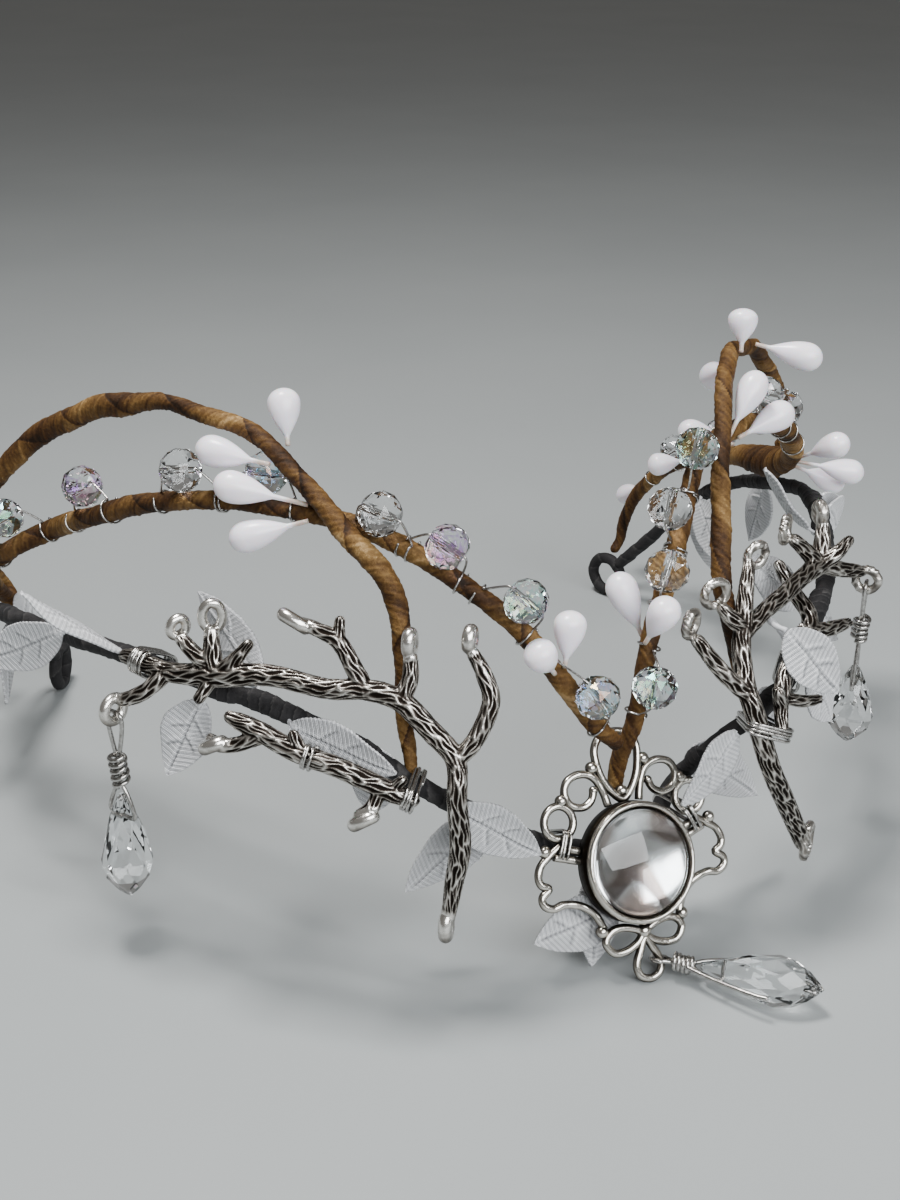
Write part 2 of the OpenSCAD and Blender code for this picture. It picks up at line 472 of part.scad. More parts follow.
// Small cast knob that closes a branch
module knob(p) {
    hull() translate(xyz(p)) sphere(p[3], $fn = 5);
}
module twig(branches, tips) {
    color(silver) union() {
        for (b = branches) {
            p = route(b, 2);
            tube(p, 5);
            knob(p[len(p) - 1]);
            knob(p[0]);
        }
        for (t = tips) tip_ring(t);
    }
}

// Eyes that carry the side drops: rings with the hole along the head, rows of angle, height, out
eye_rows = [[-61.5, 50.6, 7.6], [47.2, 56.7, 8.2]];
eye_r = 2.1;
eye_wire_r = 0.9;
function eye_point(k) = on_head(eye_rows[k][0], eye_rows[k][1], eye_rows[k][2]);
function eye_axis(k) =
    let (v = on_head(eye_rows[k][0] + 1, eye_rows[k][1]) - on_head(eye_rows[k][0] - 1, eye_rows[k][1]))
    unit([v[0], v[1], 0]);
module eye(k) {
    w = cross([0, 0, 1], eye_axis(k));
    ring_of([for (i = [0 : 11])
        eye_point(k) + eye_r * (w * cos(30 * i) + [0, 0, sin(30 * i)])], eye_wire_r, 6);
}

module twig_with_eye(k, branches, tips) {
    color(silver) union() {
        twig(branches, tips);
        eye(k);
    }
}

// Bindings: thin wire wound round tubes that lie side by side, rows of a point on each tube's axis
// and the radius to clear there. The winding lies across the direction along, at the last row's point
binding_steps = 10;
binding_pitch = 0.62;
binding_gap = 0.3;
function wound(c, r, d) =
    let (reach = [for (i = [0 : len(c) - 1]) c[i] * d + r[i]], i = search(max(reach), reach)[0])
    c[i] + d * (r[i] + thread_r + binding_gap);
module binding(rows, along, turns) {
    o = rows[len(rows) - 1][0];
    c = [for (q = rows) q[0] - ((q[0] - o) * along) * along];
    r = [for (q = rows) q[1]];
    u = start_side(along);
    w = cross(along, u);
    color(silver) tube(even([for (k = [0 : turns * binding_steps])
        let (a = 360 * k / binding_steps)
        along * binding_pitch * (k / binding_steps - turns / 2) + wound(c, r, u * cos(a) + w * sin(a))],
        thread_r), 4);
}
function on_wire(x, r) = [place(base_path, x), r];
function on_casting(a, z, out, r) = [on_head(a, z, out), r];
// The way from one casting row to the next, which a winding lies across
function way_of(p, q) = unit(on_head(q[0], q[1], q[2]) - on_head(p[0], p[1], p[2]));
// Radius that a winding clears round the head wire and the stems on it
over_stems = 3.05;
module binding_left_hub() {
    binding([on_wire(13.9, over_stems), on_casting(-60.5, 57.7, 5.2, 1.9)],
        way_of([-60.5, 57.6, 5.2], [-61.5, 57.7, 5.2]), 5);
}
module binding_left_mid() {
    binding([on_casting(-36.8, 49.9, 6.7, 1.75)], way_of([-38, 50.3, 6.7], [-33.5, 48.6, 6.5]), 3);
}
module binding_left_front() {
    binding([on_wire(20.58, over_stems), on_casting(-26.1, 44.1, 6, 1.7)],
        way_of([-26.1, 44.1, 6], [-27.1, 44.8, 6]), 3);
}
module binding_right_front() {
    binding([on_wire(36.7, 2.9), on_casting(18.3, 45.6, 6.6, 1.8), on_casting(15.7, 45.4, 4.7, 2.8)],
        unit([0.38, 0.16, 0.91]), 2.5);
}
module binding_right_lower() {
    binding([on_wire(39.03, over_stems), on_casting(23.9, 53.5, 5.1, 2)], unit([0.83, 0.35, 0.43]), 1.5);
}

// Medallion, drawn flat with +Y up the brow, then leaned back
medallion_at = on_head(0, 22, 0) + [1.4, 2.1, 0];
medallion_turn = 3;
module on_medallion() {
    translate(medallion_at) rotate([0, 0, medallion_turn]) rotate([90 - medallion_lean, 0, 0])
        rotate([0, 0, -medallion_turn]) children();
}
// Filigree on one side, as points of across and up
scroll = [[3.1, 10.3], [3.9, 13.4], [5.4, 15.8], [7.9, 16.6], [10.3, 15.8], [11.2, 13.7],
    [10.2, 11.6], [8, 10.9], [6.2, 11.8], [5.5, 13.4]];
wing = [[13.6, 5.3], [15.8, 4], [17.7, 2.6], [18.5, 0.7], [18.1, -0.7], [16.8, -1.5], [18.3, -2.7],
    [18.2, -4.1], [16.6, -5], [14.4, -4.7], [11.4, -5.5], [9, -7.4], [7.6, -10.3]];
bow = [[0.6, -12.2], [3.6, -10.9], [6.3, -11.1], [7.7, -12.8], [6.3, -14.8], [3.8, -14.9], [1.2, -13.7]];
petal = [[0, 11], [2, 12.6], [3.5, 15.2], [4.2, 18.2], [4.1, 20.4], [2.8, 22.2]];
teardrop = [[0, -13.4], [1.3, -15.4], [2.4, -17.8], [1.9, -19.7]];
spokes = [[[13.4, 4.9], [10, 3.6]], [[15, 3.6], [10, 1.9]]];
side_ring = [13.1, 9.2, 2.8];
balls = [[5.2, 17.3], [12, 12.7], [16.6, 4.8], [8.1, -10.7]];
ball_r = 1.2;
function flat_row(p) = [p[0], p[1], 0, filigree_r];
// A point of the medallion's own plane, in the part's axes
function turned(p, s) = [p[0] * cos(s) - p[1] * sin(s), p[0] * sin(s) + p[1] * cos(s), p[2]];
function medallion_point(u, v) =
    let (p = turned([u, v, 0], -medallion_turn), e = 90 - medallion_lean)
    medallion_at + turned([p[0], p[1] * cos(e), p[1] * sin(e)], medallion_turn);
function mirrored(p) = [for (i = [len(p) - 1 : -1 : 0]) [-p[i][0], p[i][1]]];
module ball(p) {
    hull() translate([p[0], p[1], 0]) sphere(ball_r, $fn = 6);
}
module filigree_side() {
    tube(smooth([for (p = scroll) flat_row(p)], 2), 5);
    tube(smooth([for (p = wing) flat_row(p)], 2), 5);
    for (s = spokes) tube([for (p = s) flat_row(p)], 5);
    ring_of([for (k = [0 : 15]) [side_ring[0] + side_ring[2] * cos(22.5 * k),
        side_ring[1] + side_ring[2] * sin(22.5 * k), 0]], filigree_r, 5);
    ring_of(smooth([for (p = bow) [p[0], p[1], 0]], 2), filigree_r, 5);
    for (b = balls) ball(b);
}
tray_r = 10.6;
tray_h = 4;
module medallion() {
    color(silver) on_medallion() {
        filigree_side();
        mirror([1, 0, 0]) filigree_side();
        ring_of(smooth([for (p = concat(petal, [[0, 22.9]], mirrored([for (i = [1 : 5]) petal[i]])))
            [p[0], p[1], 0]], 2), filigree_r, 5);
        ring_of(smooth([for (p = concat(teardrop, [[0, -20.5]], mirrored([for (i = [1 : 3]) teardrop[i]])))
            [p[0], p[1], 0]], 2), filigree_r, 5);
        ball([0, 12.4]);
        ball([0, -12.2]);
        // The tray's floor, wall and rolled rim
        rotate_extrude($fn = 32) polygon([
            [0, -0.7], [tray_r, -0.7], [tray_r, 2.2], [tray_r - 0.3, tray_h - 0.4],
            [tray_r - 0.7, tray_h], [cabochon_r + 0.15, tray_h - 0.3], [cabochon_r + 0.15, 0.3], [0, 0.3]]);
    }
}
// Cabochon: a low cylinder that rises into a dome
module cabochon() {
    edge = 3;
    dome_r = (pow(cabochon_r, 2) + pow(cabochon_h - edge, 2)) / (2 * (cabochon_h - edge));
    color(glass) on_medallion() translate([0, 0, 0.5]) intersection() {
        cylinder(h = cabochon_h, r = cabochon_r, $fn = 64);
        translate([0, 0, cabochon_h - dome_r]) sphere(dome_r, $fn = 96);
    }
}

// Ties that hold the medallion's spokes to the head wire: the side's sign and the place on base_path
tie_u = 11.3;
tie_v = 3.2;
spokes_r = 1.55;
module medallion_tie(s, x, wire_r) {
    along = unit(medallion_point(s, 0.42) - medallion_point(0, 0));
    binding([on_wire(x, wire_r), [medallion_point(s * tie_u, tie_v), spokes_r]], along, 1.5);
}

// Glass drops. The stone hangs point down; its hole lies across, near the top
drop_hole_at = 4.2;
drop_hole_r = 0.65;
module drop_stone(top, way, side, length) {
    r = drop_d / 2;
    color(glass) difference() {
        towards(top, top + way) rotate_extrude($fn = 48) polygon([
            [0, 0], [0.9, 0.2], [1.6, 2], [r * 0.5, 4.2], [r * 0.76, length * 0.38],
            [r, length * 0.62], [r * 0.86, length * 0.8], [r * 0.32, length * 0.96], [0, length]]);
        towards(top + way * drop_hole_at - side * 6, top + way * drop_hole_at)
            cylinder(h = 12, r = drop_hole_r, $fn = 24);
    }
}
// The wire of a drop. Rows are sideways and along: half of the loop, then half of the legs, which
// run from the coil's end to the stone's hole
function loop_half(neck_at) = [
    [0.3, neck_at + 1.2], [0.5, neck_at], [1.3, neck_at * 0.6], [1.7, 2.6], [1.5, 1.1], [0.8, 0.55]];
function legs_half(neck_end, top) = [
    [0.3, neck_end - 0.6], [1.5, (neck_end + top) / 2 + 0.4], [2.5, top + 1.8],
    [3, top + drop_hole_at - 0.7], [2.3, top + drop_hole_at]];
function both_halves(eye, way, side, half, last) = concat(
    [for (p = half) eye + side * p[0] + way * p[1]], [eye + way * last],
    [for (i = [len(half) - 1 : -1 : 0]) eye - side * half[i][0] + way * half[i][1]]);
coil_turns = 4;
coil_r = 1.3;
module drop_wire(eye, way, side, leg_side, neck_at, neck_end, top) {
    front = cross(way, side);
    length = neck_end - neck_at;
    color(silver) union() {
        tube(even(smooth(both_halves(eye, way, side, loop_half(neck_at), 0.45), 2), drop_wire_r), 4);
        tube(even(smooth(both_halves(eye, way, leg_side, legs_half(neck_end, top), top + drop_hole_at), 2),
            drop_wire_r), 4);
        tube(even([for (k = [0 : coil_turns * 8])
            eye + way * (neck_at + 0.4 + (length - 0.8) * k / (coil_turns * 8))
                + coil_r * (side * cos(45 * k) + front * sin(45 * k))], drop_wire_r), 4);
        // The strands inside the coil, twisted together
        tube([for (k = [0 : 4]) let (p = eye + way * (neck_at - 0.2 + (length + 0.4) * k / 4))
            [p[0], p[1], p[2], k == 0 || k == 4 ? 0.65 : 1.1]], 7);
    }
}
down = [0, 0, -1];
// Left, right and centre drop: where the coil starts and ends, the stone's top, and its length
drop_rows = [[8.4, 15, 16.6, drop_len], [7.6, 13, 18.2, short_drop_len], [4.2, 8.2, 9.4, drop_len]];
module side_drop_stone(k) {
    drop_stone(eye_point(k) + down * drop_rows[k][2], down, eye_axis(k), drop_rows[k][3]);
}
module side_drop_wire(k) {
    drop_wire(eye_point(k), down, eye_axis(k), eye_axis(k), drop_rows[k][0], drop_rows[k][1], drop_rows[k][2]);
}

// The centre drop hangs from the medallion's lowest ring and lies on the surface in front
centre_way = unit([0.7, -0.71, 0.069]);
centre_eye = medallion_point(2.2, -17.6) - centre_way * 1.9;
centre_leg_side = unit(cross(centre_way, [0, 0, 1]));
centre_loop_side = unit(cross(medallion_point(0, 1) - medallion_point(0, 0), centre_way));
module centre_drop_stone() {
    drop_stone(centre_eye + centre_way * drop_rows[2][2], centre_way, centre_leg_side, drop_rows[2][3]);
}
module centre_drop_wire() {
    drop_wire(centre_eye, centre_way, centre_loop_side, centre_leg_side,
        drop_rows[2][0], drop_rows[2][1], drop_rows[2][2]);
}

base_wire();
end_loop(0);  // end_loop_left
end_loop(1);  // end_loop_right
arch_left();
arch_right();
stem_left();
stem_right();
bead_wire(beads_left, stem_left_path);  // bead_wire_left
bead_wire(beads_right, stem_right_path);  // bead_wire_right
leaves_left();
leaves_right();
twig_with_eye(0, twig_left_upper_rows, tips_left_upper);  // twig_left_upper
twig(twig_left_lower_rows, tips_left_lower);  // twig_left_lower
twig_with_eye(1, twig_right_upper_rows, tips_right_upper);  // twig_right_upper
twig(twig_right_lower_rows, []);  // twig_right_lower
binding_left_hub();
binding_left_mid();
binding_left_front();
binding_right_front();
binding_right_lower();
union() {  // binding_medallion
    medallion_tie(-1, 26.34, 1.9);
    medallion_tie(1, 31.72, 2.25);
}
medallion();
cabochon();
pips(pips_left_brow_rows, stem_left_path);  // pips_left_brow
pips(pips_left_stem_rows, stem_left_path);  // pips_left_stem
pips(pips_left_arch_rows, arch_left_path);  // pips_left_arch
pips(pips_left_rear_rows, stem_left_path);  // pips_left_rear
pips(pips_right_brow_rows, stem_right_path);  // pips_right_brow
pips(pips_right_stem_rows, stem_right_path);  // pips_right_stem
pips(pips_right_arch_rows, arch_right_path);  // pips_right_arch
pips(pips_right_side_rows, stem_right_path);  // pips_right_side
pips(pips_right_rear_rows, stem_right_path);  // pips_right_rear
side_drop_stone(0);  // drop_stone_left
side_drop_wire(0);  // drop_wire_left
side_drop_stone(1);  // drop_stone_right
side_drop_wire(1);  // drop_wire_right
centre_drop_stone();  // drop_stone_centre
centre_drop_wire();  // drop_wire_centre
for (i = [0 : 7]) {
    bead_on(beads_left[i], stem_left_path);
    bead_on(beads_right[i], stem_right_path);
}
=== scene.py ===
# Elf tiara: taped wires, twig castings, cloth leaves, glass beads, pips, a filigree medallion and
# glass drops, standing on a pale table. Lengths are millimetres until a mesh is made.
import bmesh
import bpy
import numpy as np
from mathutils import Matrix


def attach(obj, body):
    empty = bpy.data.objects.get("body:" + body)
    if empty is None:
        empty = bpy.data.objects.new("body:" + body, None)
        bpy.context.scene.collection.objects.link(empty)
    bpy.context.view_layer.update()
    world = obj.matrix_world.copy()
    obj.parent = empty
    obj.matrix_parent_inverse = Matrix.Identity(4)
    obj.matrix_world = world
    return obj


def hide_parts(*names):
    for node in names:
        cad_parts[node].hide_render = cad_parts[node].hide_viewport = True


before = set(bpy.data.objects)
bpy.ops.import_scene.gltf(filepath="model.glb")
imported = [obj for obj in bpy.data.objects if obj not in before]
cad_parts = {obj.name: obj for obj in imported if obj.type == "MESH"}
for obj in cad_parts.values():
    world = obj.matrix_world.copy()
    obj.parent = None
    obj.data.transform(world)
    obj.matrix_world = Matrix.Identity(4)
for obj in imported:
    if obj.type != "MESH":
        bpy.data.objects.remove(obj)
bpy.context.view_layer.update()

# The photograph's camera: it looks down on the brow from the left front, close to the piece.
azimuth, elevation, roll = np.radians([-23.5, 25.0, 0.5])
camera_at = np.array([-117.64, -260.33, 177.8])
back = np.array([np.sin(azimuth) * np.cos(elevation), -np.cos(azimuth) * np.cos(elevation),
                 np.sin(elevation)])
level = np.array([np.cos(azimuth), np.sin(azimuth), 0])
upward = np.cross(back, level)
right = np.cos(roll) * level + np.sin(roll) * upward
up = np.cos(roll) * upward - np.sin(roll) * level
camera = bpy.data.objects.new("Photo camera", bpy.data.cameras.new("Photo camera"))
camera.data.sensor_fit = "VERTICAL"
camera.data.sensor_height = 36
camera.data.lens = 48
camera.data.clip_start = 0.01
camera_frame = np.vstack([np.column_stack([right, up, back, camera_at / 1000]), [0, 0, 0, 1]])
camera.matrix_world = Matrix(camera_frame.tolist())
bpy.context.scene.collection.objects.link(camera)
bpy.context.scene.camera = camera

# Black head wire: steel wire wound with matte black cloth tape, its two ends bent into closed loops.
# Rows are angle round the head from the brow, height, distance outside the head form, and radius.
half_left, half_right, half_front, half_back = 86, 82, 78, 120
datum = 3.3
middle = np.array([-3.86, -17.27])
base_r = 1.5
base_left_rows = [
    [-115, 23, 0, base_r], [-109, 33, 3, base_r], [-101, 43, 5, base_r], [-94, 48.5, 5, base_r],
    [-84, 51, 0, base_r], [-75, 53.5, 0, base_r], [-66, 55, 0, base_r], [-54, 55, 0, base_r],
    [-42, 53, 0, base_r], [-33, 49, 0, base_r], [-24, 42, 0, base_r], [-16, 34, -2, base_r],
    [-11, 27, -6.5, base_r]]
base_brow_rows = [[-5, 22.5, -9, base_r], [1, 21, -9.5, base_r], [7, 22.5, -9.4, base_r]]
base_right_rows = [
    [12, 29.5, -10.4, base_r], [15.6, 38.5, -5.2, base_r], [20, 44, -1, base_r], [26, 47, 0, base_r],
    [34, 51, 0, base_r], [46, 55, 0, base_r], [58, 57, 0, base_r], [70, 58, 0.5, base_r],
    [80, 57.5, 2, base_r], [88, 55, 2, base_r], [97, 50, 1, base_r], [104, 42, 0, base_r],
    [109, 33, 0, base_r], [113, 24, 0, base_r]]
loop_angle = [-121.4, 120]
loop_r = 4.5
tape_pitch = 5.5


def on_head(rows):
    """Points from rows of angle, height and out: an ellipse round the head that narrows with height
    by 0.0065 of its width per millimetre above 40, widened by out."""
    rows = np.atleast_2d(np.asarray(rows, float))
    a, z, out = np.radians(rows[:, 0]), rows[:, 1], rows[:, 2]
    lean = np.where(z <= 40, 1, 1 - 0.0065 * (z - 40) ** 2 / np.maximum(z - 32, 1))
    across = np.where(a < 0, half_left, half_right) * lean + out
    along = np.where(np.cos(a) > 0, half_front, half_back) * lean + out
    return np.column_stack([across * np.sin(a) - middle[0], -along * np.cos(a) - middle[1], z - datum])


def smooth(rows, steps):
    """Curve through all rows, cubic between two rows, each row's slope taken from its neighbours."""
    p = np.asarray(rows, float)
    e = np.vstack([p[:1], p, p[-1:]])
    t = np.arange(steps)[None, :, None] / steps
    a, b, c, d = e[:-3, None], e[1:-2, None], e[2:-1, None], e[3:, None]
    q = 0.5 * (2 * b + (c - a) * t + (2 * a - 5 * b + 4 * c - d) * t ** 2 + (3 * b - a - 3 * c + d) * t ** 3)
    return np.vstack([q.reshape(-1, p.shape[1]), p[-1:]])


def evened(path, step):
    """The same curve with its points an even step apart, and how far along it each one lies."""
    walked = walked_along(path)
    s = np.linspace(0, walked[-1], max(int(walked[-1] / step), 2) + 1)
    return np.column_stack([np.interp(s, walked, column) for column in path.T]), s


def route(rows, step=0.3):
    """A wire's middle line from rows of angle, height, out and radius."""
    rows = np.asarray(rows, float)
    return evened(smooth(np.column_stack([on_head(rows[:, :3]), rows[:, 3]]), 12), step)


def spot(row):
    """The one point of a row of angle, height and out."""
    return on_head([row])[0]


def circle(count):
    """So many even angles once round."""
    return np.arange(count) * 2 * np.pi / count


def walked_along(path):
    """How far along a path each of its points lies."""
    return np.r_[0, np.cumsum(np.linalg.norm(np.diff(path[:, :3], axis=0), axis=1))]


def unit(v):
    """Vectors made one long."""
    v = np.asarray(v, float)
    return v / np.linalg.norm(v, axis=-1, keepdims=True)


def sides_of(p):
    """Along a path: its direction, and two directions across it that are carried on without twist."""
    t = unit(np.gradient(p[:, :3], axis=0))
    side = np.empty_like(t)
    last = np.array([0, 0, 1.0]) if abs(t[0, 2]) < 0.8 else np.array([1.0, 0, 0])
    for i, way in enumerate(t):
        last = last - (last @ way) * way
        last = last / np.linalg.norm(last)
        side[i] = last
    return t, side, np.cross(t, side)


def around(p, radius, sides):
    """Rings round a path: middle + radius (side cos a + other side sin a), radius by ring and angle."""
    t, side, other = sides_of(p)
    a = circle(sides)[None, :, None]
    radius = np.broadcast_to(radius, (len(p), sides))[:, :, None]
    return p[:, None, :3] + radius * (side[:, None] * np.cos(a) + other[:, None] * np.sin(a))


def shell(rings, tone=0.0, ends=True, looped=False):
    """Rings of points sewn into one skin, each end closed by a fan on its middle, or last ring to first."""
    n, m = rings.shape[:2]
    i, k = np.meshgrid(np.arange(n if looped else n - 1), np.arange(m), indexing="ij")
    j, l = (i + 1) % n, (k + 1) % m
    quads = np.stack([i * m + k, i * m + l, j * m + l, j * m + k], -1).reshape(-1, 4)
    points = rings.reshape(-1, 3)
    tone = np.broadcast_to(tone, (n, m)).reshape(-1)
    fans = np.zeros((0, 3), int)
    if ends and not looped:
        k = np.arange(m)
        l = (k + 1) % m
        points = np.vstack([points, rings[0].mean(0), rings[-1].mean(0)])
        tone = np.r_[tone, tone[:m].mean(), tone[-m:].mean()]
        first = np.stack([l, k, np.full(m, n * m)], -1)
        final = np.stack([(n - 1) * m + k, (n - 1) * m + l, np.full(m, n * m + 1)], -1)
        fans = np.vstack([first, final])
    return {"points": points, "quads": quads, "fans": fans, "tone": tone}


def joined(shells):
    """Several skins as one set of points and faces."""
    out = {"points": [], "quads": [], "fans": [], "tone": []}
    count = 0
    for part in shells:
        out["points"].append(part["points"])
        out["quads"].append(part["quads"] + count)
        out["fans"].append(part["fans"] + count)
        out["tone"].append(part["tone"])
        count += len(part["points"])
    return {key: np.concatenate(value) for key, value in out.items()}


def piece(name, part, material, body="circlet", flat=False, uv=None):
    """A mesh object from a skin in millimetres, with the skin's tone kept as a point attribute."""
    mesh = bpy.data.meshes.new(name)
    corners = np.r_[part["quads"].reshape(-1), part["fans"].reshape(-1)].astype(np.int32)
    sizes = np.r_[np.full(len(part["quads"]), 4), np.full(len(part["fans"]), 3)].astype(np.int32)
    mesh.vertices.add(len(part["points"]))
    mesh.vertices.foreach_set("co", (part["points"] / 1000).astype(np.float32).reshape(-1))
    mesh.loops.add(len(corners))
    mesh.loops.foreach_set("vertex_index", corners)
    mesh.polygons.add(len(sizes))
    mesh.polygons.foreach_set("loop_start", np.r_[0, np.cumsum(sizes)[:-1]].astype(np.int32))
    mesh.update(calc_edges=True)
    mesh.attributes.new("tone", "FLOAT", "POINT").data.foreach_set("value", part["tone"].astype(np.float32))
    if uv is not None:
        layer = mesh.uv_layers.new(name="UVMap")
        layer.data.foreach_set("uv", uv[corners].astype(np.float32).reshape(-1))
    mesh.validate()
    if flat:
        mesh.shade_flat()
    else:
        mesh.shade_smooth()
    mesh.materials.append(material)
    made = bpy.data.objects.new(name, mesh)
    bpy.context.scene.collection.objects.link(made)
    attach(made, body)
    return made


def ripple(s, a, waves):
    """Sum of waves over length s and angle a: size sin(2 pi s / length + whole turns a + start)."""
    return sum(size * np.sin(2 * np.pi * s / length + turns * a + start)
               for size, length, turns, start in waves)


def painted_lap_shading(lap, start, edge, shadow=0.5, narrow=0.1):
    """Tape's tone over one lap from 0 to 1: lighter at its raised edge, a painted highlight, and dark just
    before the next edge, a painted shadow under the overlapping turn.
    """
    return np.clip(start + edge * np.exp(-lap / 0.12) - shadow * np.exp(-(1 - lap) / narrow), 0, 1)


def wound_tape(path, s, sides, pitch, lap_height, waves, edge_highlight_tone=0.35, uneven=None):
    """Skin of a wire wound with tape. The radius falls by lap_height from each turn's edge to the next
    edge, which lies at whole numbers of s / pitch - angle / 360, with uneven in the place of s where the
    turns aren't even. Waves add the creases."""
    a = circle(sides)[None, :]
    lap = ((s if uneven is None else uneven)[:, None] / pitch - a / (2 * np.pi)) % 1
    crease = ripple(s[:, None], a, waves)
    radius = path[:, 3][:, None] * (1 + crease) + lap_height * (1 - lap) ** 2
    radius = radius * np.sqrt(np.clip(np.minimum(s, s[-1] - s) / 0.9 + 0.05, 0, 1))[:, None]
    # The tone is painted light and shade: lighter on the creases' crowns and on each turn's raised edge,
    # darker in the creases' hollows and in a painted shadow under the next turn.
    return around(path, radius, sides), painted_lap_shading(lap, 0.5 + 2.2 * crease, edge_highlight_tone, 0.55, 0.09)


def new_material(name, **values):
    """A material and its tree, with values set on the sockets of its main shader."""
    made = bpy.data.materials.new(name)
    made.use_nodes = True
    shader = made.node_tree.nodes["Principled BSDF"]
    for key, value in values.items():
        shader.inputs[key.replace("_", " ")].default_value = value
    return made, made.node_tree, shader


def add(tree, kind, settings=None, inputs=None):
    """A node of a kind: settings are its own, inputs are values or other nodes' sockets."""
    made = tree.nodes.new("ShaderNode" + kind)
    for key, value in (settings or {}).items():
        setattr(made, key, value)
    for key, value in (inputs or {}).items():
        if isinstance(value, bpy.types.NodeSocket):
            tree.links.new(value, made.inputs[key])
        else:
            made.inputs[key].default_value = value
    return made


def reckon(tree, operation, *values):
    """A number worked out from numbers or other nodes' sockets."""
    return add(tree, "Math", {"operation": operation}, dict(enumerate(values))).outputs[0]


def ramp(tree, source, stops):
    """A colour ramp over a value, from stops of place and colour, or of place and one number for a grey."""
    made = add(tree, "ValToRGB", inputs={"Fac": source})
    made.color_ramp.elements.remove(made.color_ramp.elements[1])
    for i, (at, colour) in enumerate(stops):
        element = made.color_ramp.elements[0] if i == 0 else made.color_ramp.elements.new(at)
        element.position = at
        element.color = (*np.broadcast_to(colour, 3), 1)
    return made.outputs["Color"]


def attribute(tree, name="tone"):
    """The value of a point attribute."""
    return add(tree, "Attribute", {"attribute_name": name}).outputs["Fac"]


def place(tree):
    """The mesh's own coordinates in metres."""
    return add(tree, "TexCoord").outputs["Object"]


def noise(tree, scale, detail=4.0, vector=None, rough=0.55):
    """Noise of so many cells a metre."""
    return add(tree, "TexNoise", inputs={
        "Vector": vector or place(tree), "Scale": scale, "Detail": detail, "Roughness": rough}).outputs["Fac"]


def blend(tree, kind, factor, first, second):
    """Two colours mixed."""
    made = add(tree, "MixRGB", {"blend_type": kind}, {"Fac": factor})
    for key, value in (("Color1", first), ("Color2", second)):
        if isinstance(value, bpy.types.NodeSocket):
            tree.links.new(value, made.inputs[key])
        else:
            made.inputs[key].default_value = (*value, 1)
    return made.outputs["Color"]


def paint(tree, shader, colour, socket="Base Color"):
    """A node's colour or value put on a socket of a shader."""
    tree.links.new(colour, shader.inputs[socket])


def bump(tree, shader, height, distance, strength=1.0):
    """A relief of a height so many metres deep under a shader."""
    made = add(tree, "Bump", inputs={"Height": height, "Distance": distance, "Strength": strength})
    tree.links.new(made.outputs["Normal"], shader.inputs["Normal"])


# The black tape's colour follows the tone, so it carries painted shade under each lap and in the creases, and
# a painted highlight on the raised edges. The grain is the cloth's own.
black_tape, tree, shader = new_material("Black cloth tape", Roughness=0.78, Specular_IOR_Level=0.35)
grain = noise(tree, 2600, 3)
black = ramp(tree, attribute(tree), [(0.1, (0.004, 0.004, 0.005)), (0.55, (0.014, 0.013, 0.014)),
                                     (0.95, (0.05, 0.047, 0.046))])
grained = blend(tree, "MULTIPLY", 0.5, black, ramp(tree, grain, [(0.3, 0.4), (0.7, 1.5)]))
paint(tree, shader, grained)
bump(tree, shader, grain, 0.00012)

base_rows = base_left_rows + base_brow_rows + base_right_rows
loop_centre = on_head([[loop_angle[k], datum + loop_r + base_r, -1] for k in (0, 1)])
ends_of_wire = np.array([spot(base_rows[0][:3]), spot(base_rows[-1][:3])])
loop_way = unit(ends_of_wire - loop_centre)
loop_joint = loop_centre + loop_way * (loop_r + 0.4)
base_points = np.column_stack([on_head([row[:3] for row in base_rows]), [row[3] for row in base_rows]])
middle_line = smooth(base_points, 12)
base_line = np.vstack([[*loop_joint[0], 1.4], middle_line, [*loop_joint[1], 1.4]])
base_path, base_s = evened(base_line, 0.4)
black_waves = [(0.03, 31, 0, 0.4), (0.035, 9.1, 2, 1.9), (0.02, 4.3, -3, 0.7), (0.012, 2.1, 5, 2.6)]
rings, tone = wound_tape(base_path, base_s, 22, tape_pitch, 0.16, black_waves)
head_wire = piece("head_wire_tape", shell(rings, tone), black_tape)
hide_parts("base_wire")

for k, name in enumerate(("left", "right")):
    turn = circle(72)
    level_way = np.array([*unit(loop_way[k][:2]), 0])
    ring = loop_centre[k] + loop_r * (np.outer(np.cos(turn), level_way) + np.outer(np.sin(turn), [0, 0, 1]))
    a = circle(22)[None, :]
    lap = (6 * turn[:, None] / (2 * np.pi) - a / (2 * np.pi)) % 1
    radius = 1.36 + 0.14 * (1 - lap) ** 2 + 0.03 * np.sin(3 * a + 2 * turn[:, None])
    hub = np.cross([0, 0, 1], level_way)
    outward = unit(ring - loop_centre[k])
    spread = outward[:, None] * np.cos(a)[:, :, None] + hub * np.sin(a)[:, :, None]
    rings = ring[:, None] + radius[:, :, None] * spread
    # Painted light and shade on the loop's tape: a lighter raised edge and a painted shadow under each
    # overlapping turn.
    skin = shell(rings, painted_lap_shading(lap, 0.5, 0.35, narrow=0.09), looped=True)
    end_loop = piece("end_loop_tape_" + name, skin, black_tape)
    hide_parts("end_loop_" + name)

